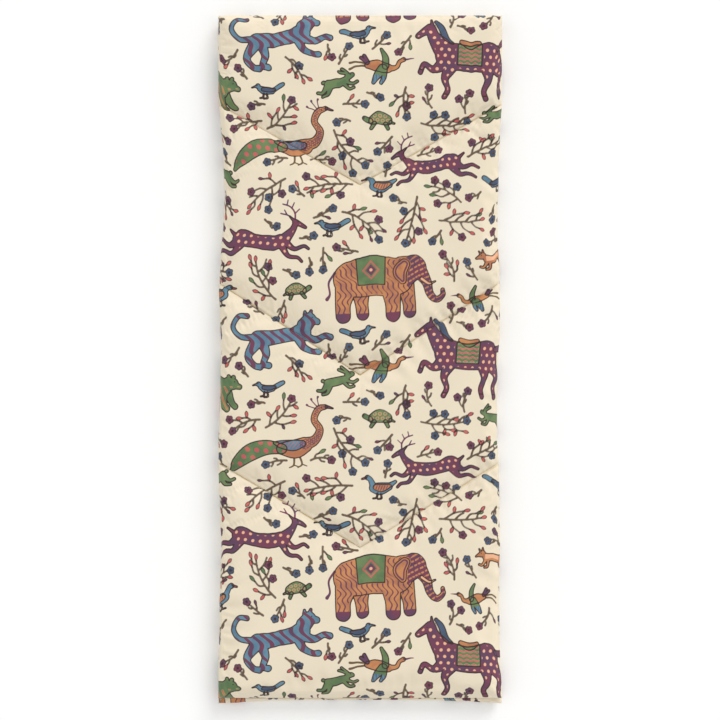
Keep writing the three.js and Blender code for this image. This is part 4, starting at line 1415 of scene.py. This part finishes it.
def makeDraftTube(node, name, axis):
    # A slim padded roll: an oval section that narrows to both ends, with puckers where it is sewn down.
    low, high = nodeBox(node)
    centre, half = (low + high) / 2, (high - low) / 2
    t = np.linspace(-1, 1, 420)
    along = centre[axis] + (half[axis] - tubePlan["sideGap"]) * t
    slim = tubePlan["slimmest"]
    ends = slim + (1 - slim) * quarterRise((1 - np.abs(t)) * half[axis] / tubePlan["taper"])
    turn = np.arange(20) * 2 * math.pi / 20
    wide, tall = np.sign(np.cos(turn)) * np.abs(np.cos(turn)) ** 0.75, np.sin(turn)
    swell = 1 + 0.05 * ripple(along, along * 0, 41, 30.0) + 0.03 * ripple(along, along * 0, 42, 11.0)
    halfAcross = (half[1 - axis] - tubePlan["sideGap"]) * ends * (0.97 + 0.03 * swell)
    across = centre[1 - axis] + halfAcross[:, None] * wide
    z = centre[2] + tubePlan["lift"] + ((half[2] - tubePlan["topGap"]) * ends * swell)[:,
        None] * tall * 0.93
    lengthwise = np.broadcast_to(along[:, None], across.shape)
    if axis == 1:
        rings = np.stack([drawnIn(across, lengthwise), lengthwise, z], axis=-1)[:, ::-1]
    else:
        rings = np.stack([lengthwise, across, z], axis=-1)
    tube = addPiece(name, loftMesh(name, rings), "top_quilt", draftCloth, (node,))


# One side of the ribbon's loop from its end to its eye, as (way along, distance from middle, half width).
ribbonPlan = {
    "loop": [(0, 0.42, 2.8), (8, 0.46, 2.8), (18, 0.6, 2.75), (27, 0.9, 2.5), (34.5, 1.15, 1.9),
             (38.2, 1.1, 1.5)],
    "eye": (39.6, 0, 1.4), "halfThick": 0.36, "rib": 0.05,
}


def makeRibbon(node, name, body, alongY):
    # A woven ribbon passed through the tab's eye and sewn to itself: a flat strip swept round a long loop.
    low, high = nodeBox(node)
    centre = (low + high) / 2
    out, fwd = (0, 1) if alongY else (1, 0)
    near = ribbonPlan["loop"]
    path = smoothPath(near + [ribbonPlan["eye"]] + [(run, -off, wide) for run, off, wide in near[::-1]],
                      8)
    slope = np.gradient(path[:, :2], axis=0)
    slope /= np.linalg.norm(slope, axis=-1, keepdims=True)
    normal = np.stack([-slope[:, 1], slope[:, 0]], axis=-1)
    rib = ribbonPlan["halfThick"] + ribbonPlan["rib"] * np.cos(np.arange(len(path)) * math.pi)
    rings = []
    for a, b in ((-1, -0.92), (-0.5, -1), (0.5, -1), (1, -0.92), (1, 0.92), (0.5, 1), (-0.5, 1),
                 (-1, 0.92)):
        ring = np.zeros((len(path), 3))
        shift = path[:, :2] + normal * (b * rib)[:, None]
        ring[:, fwd] = low[1] + shift[:, 0] if alongY else high[0] - shift[:, 0]
        ring[:, out] = centre[out] + shift[:, 1]
        ring[:, 2] = centre[2] + a * path[:, 2]
        rings.append(ring)
    rings = np.stack(rings, axis=1)
    addPiece(name, loftMesh(name, rings), body, ribbonCloth, (node,))


hardwarePlan = {"weld": 0.00002, "flat": 4, "bevelFrom": 35, "segments": 2}


def bevelledCopy(node, name, body, material, width):
    # A copy of a frame part with its loose triangles merged, its flats dissolved and its edges rounded.
    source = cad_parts[node]
    work = bmesh.new()
    work.from_mesh(source.data)
    bmesh.ops.remove_doubles(work, verts=work.verts, dist=hardwarePlan["weld"])
    bmesh.ops.dissolve_limit(work, angle_limit=math.radians(hardwarePlan["flat"]), verts=work.verts,
                             edges=work.edges)
    bmesh.ops.recalc_face_normals(work, faces=work.faces)
    mesh = bpy.data.meshes.new(name)
    work.to_mesh(mesh)
    work.free()
    mesh.materials.clear()
    piece = addPiece(name, mesh, body, material, (node,))
    bevel = piece.modifiers.new("softEdges", "BEVEL")
    bevel.width = width * mm
    bevel.segments = hardwarePlan["segments"]
    bevel.limit_method = "ANGLE"
    bevel.angle_limit = math.radians(hardwarePlan["bevelFrom"])
    bevel.harden_normals = True


def nodeName(node):
    # side_pull_tab becomes sidePullTab.
    first, *others = node.split("_")
    return first + "".join(word.capitalize() for word in others)


gussetPlan = {"depth": 7.0, "thickness": 1.0, "inset": 1.6, "halfTurn": 1.15, "footGap": 14,
              "mouthGap": 8}


def makeFoldGusset():
    # A strip inside the fold that joins the quilts: an arc in section, swept along the fold. It bends with
    # them, so that no gap opens where the side is drawn in.
    y = np.linspace(footY[True] + gussetPlan["footGap"], mouthY - gussetPlan["mouthGap"], 200)
    turn = np.linspace(-gussetPlan["halfTurn"], gussetPlan["halfTurn"], 13)
    middleX = gussetPlan["inset"] + gussetPlan["depth"] - halfWidth
    faces = []
    for radius in (gussetPlan["depth"], gussetPlan["depth"] - gussetPlan["thickness"]):
        faces.append(np.stack([middleX - radius * np.cos(turn), midZ + radius * np.sin(turn)], axis=-1))
    lines = []
    for x, z in np.vstack([faces[0], faces[1][::-1]]):
        lines.append(np.stack([drawnIn(np.full_like(y, x), y), y, np.full_like(y, z)], axis=-1))
    mesh = loftMesh("foldGusset", np.stack(lines, axis=1))
    gusset = bpy.data.objects.new("foldGusset", mesh)
    bpy.context.scene.collection.objects.link(gusset)
    mesh.materials.append(draftCloth)
    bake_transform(gusset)


for upper in (True, False):
    makeBatts(upper)
    makeLining(upper)
    makeStitches(upper)
    makeHem(upper)
    makeSideTape(upper)
    makeFootTape(upper)
    makeTeeth(upper)
    print("hem and zip made", quiltName[upper])
makeDraftTube("side_draft_tube", "sideDraftTube", 1)
makeDraftTube("foot_draft_tube", "footDraftTube", 0)
print("draft tubes made")
makeFoldGusset()
print("fold gusset made")
makeRibbon("side_pull_ribbon", "sidePullRibbon", "side_puller", True)
makeRibbon("foot_pull_ribbon", "footPullRibbon", "foot_puller", False)
for node, body, width in (("top_zip_stop", "top_quilt", 0.3), ("bottom_zip_stop", "bottom_quilt", 0.3),
                          ("zip_retainer_box", "bottom_quilt", 0.4),
                          ("side_slider_body", "side_slider", 0.4),
                          ("foot_slider_body", "foot_slider", 0.4),
                          ("side_pull_tab", "side_puller", 0.25),
                          ("foot_pull_tab", "foot_puller", 0.25)):
    bevelledCopy(node, nodeName(node), body, brass, width)
bevelledCopy("zip_insertion_pin", "zipInsertionPin", "top_quilt", teethNylon, 0.3)
print("hardware made")

low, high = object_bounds()
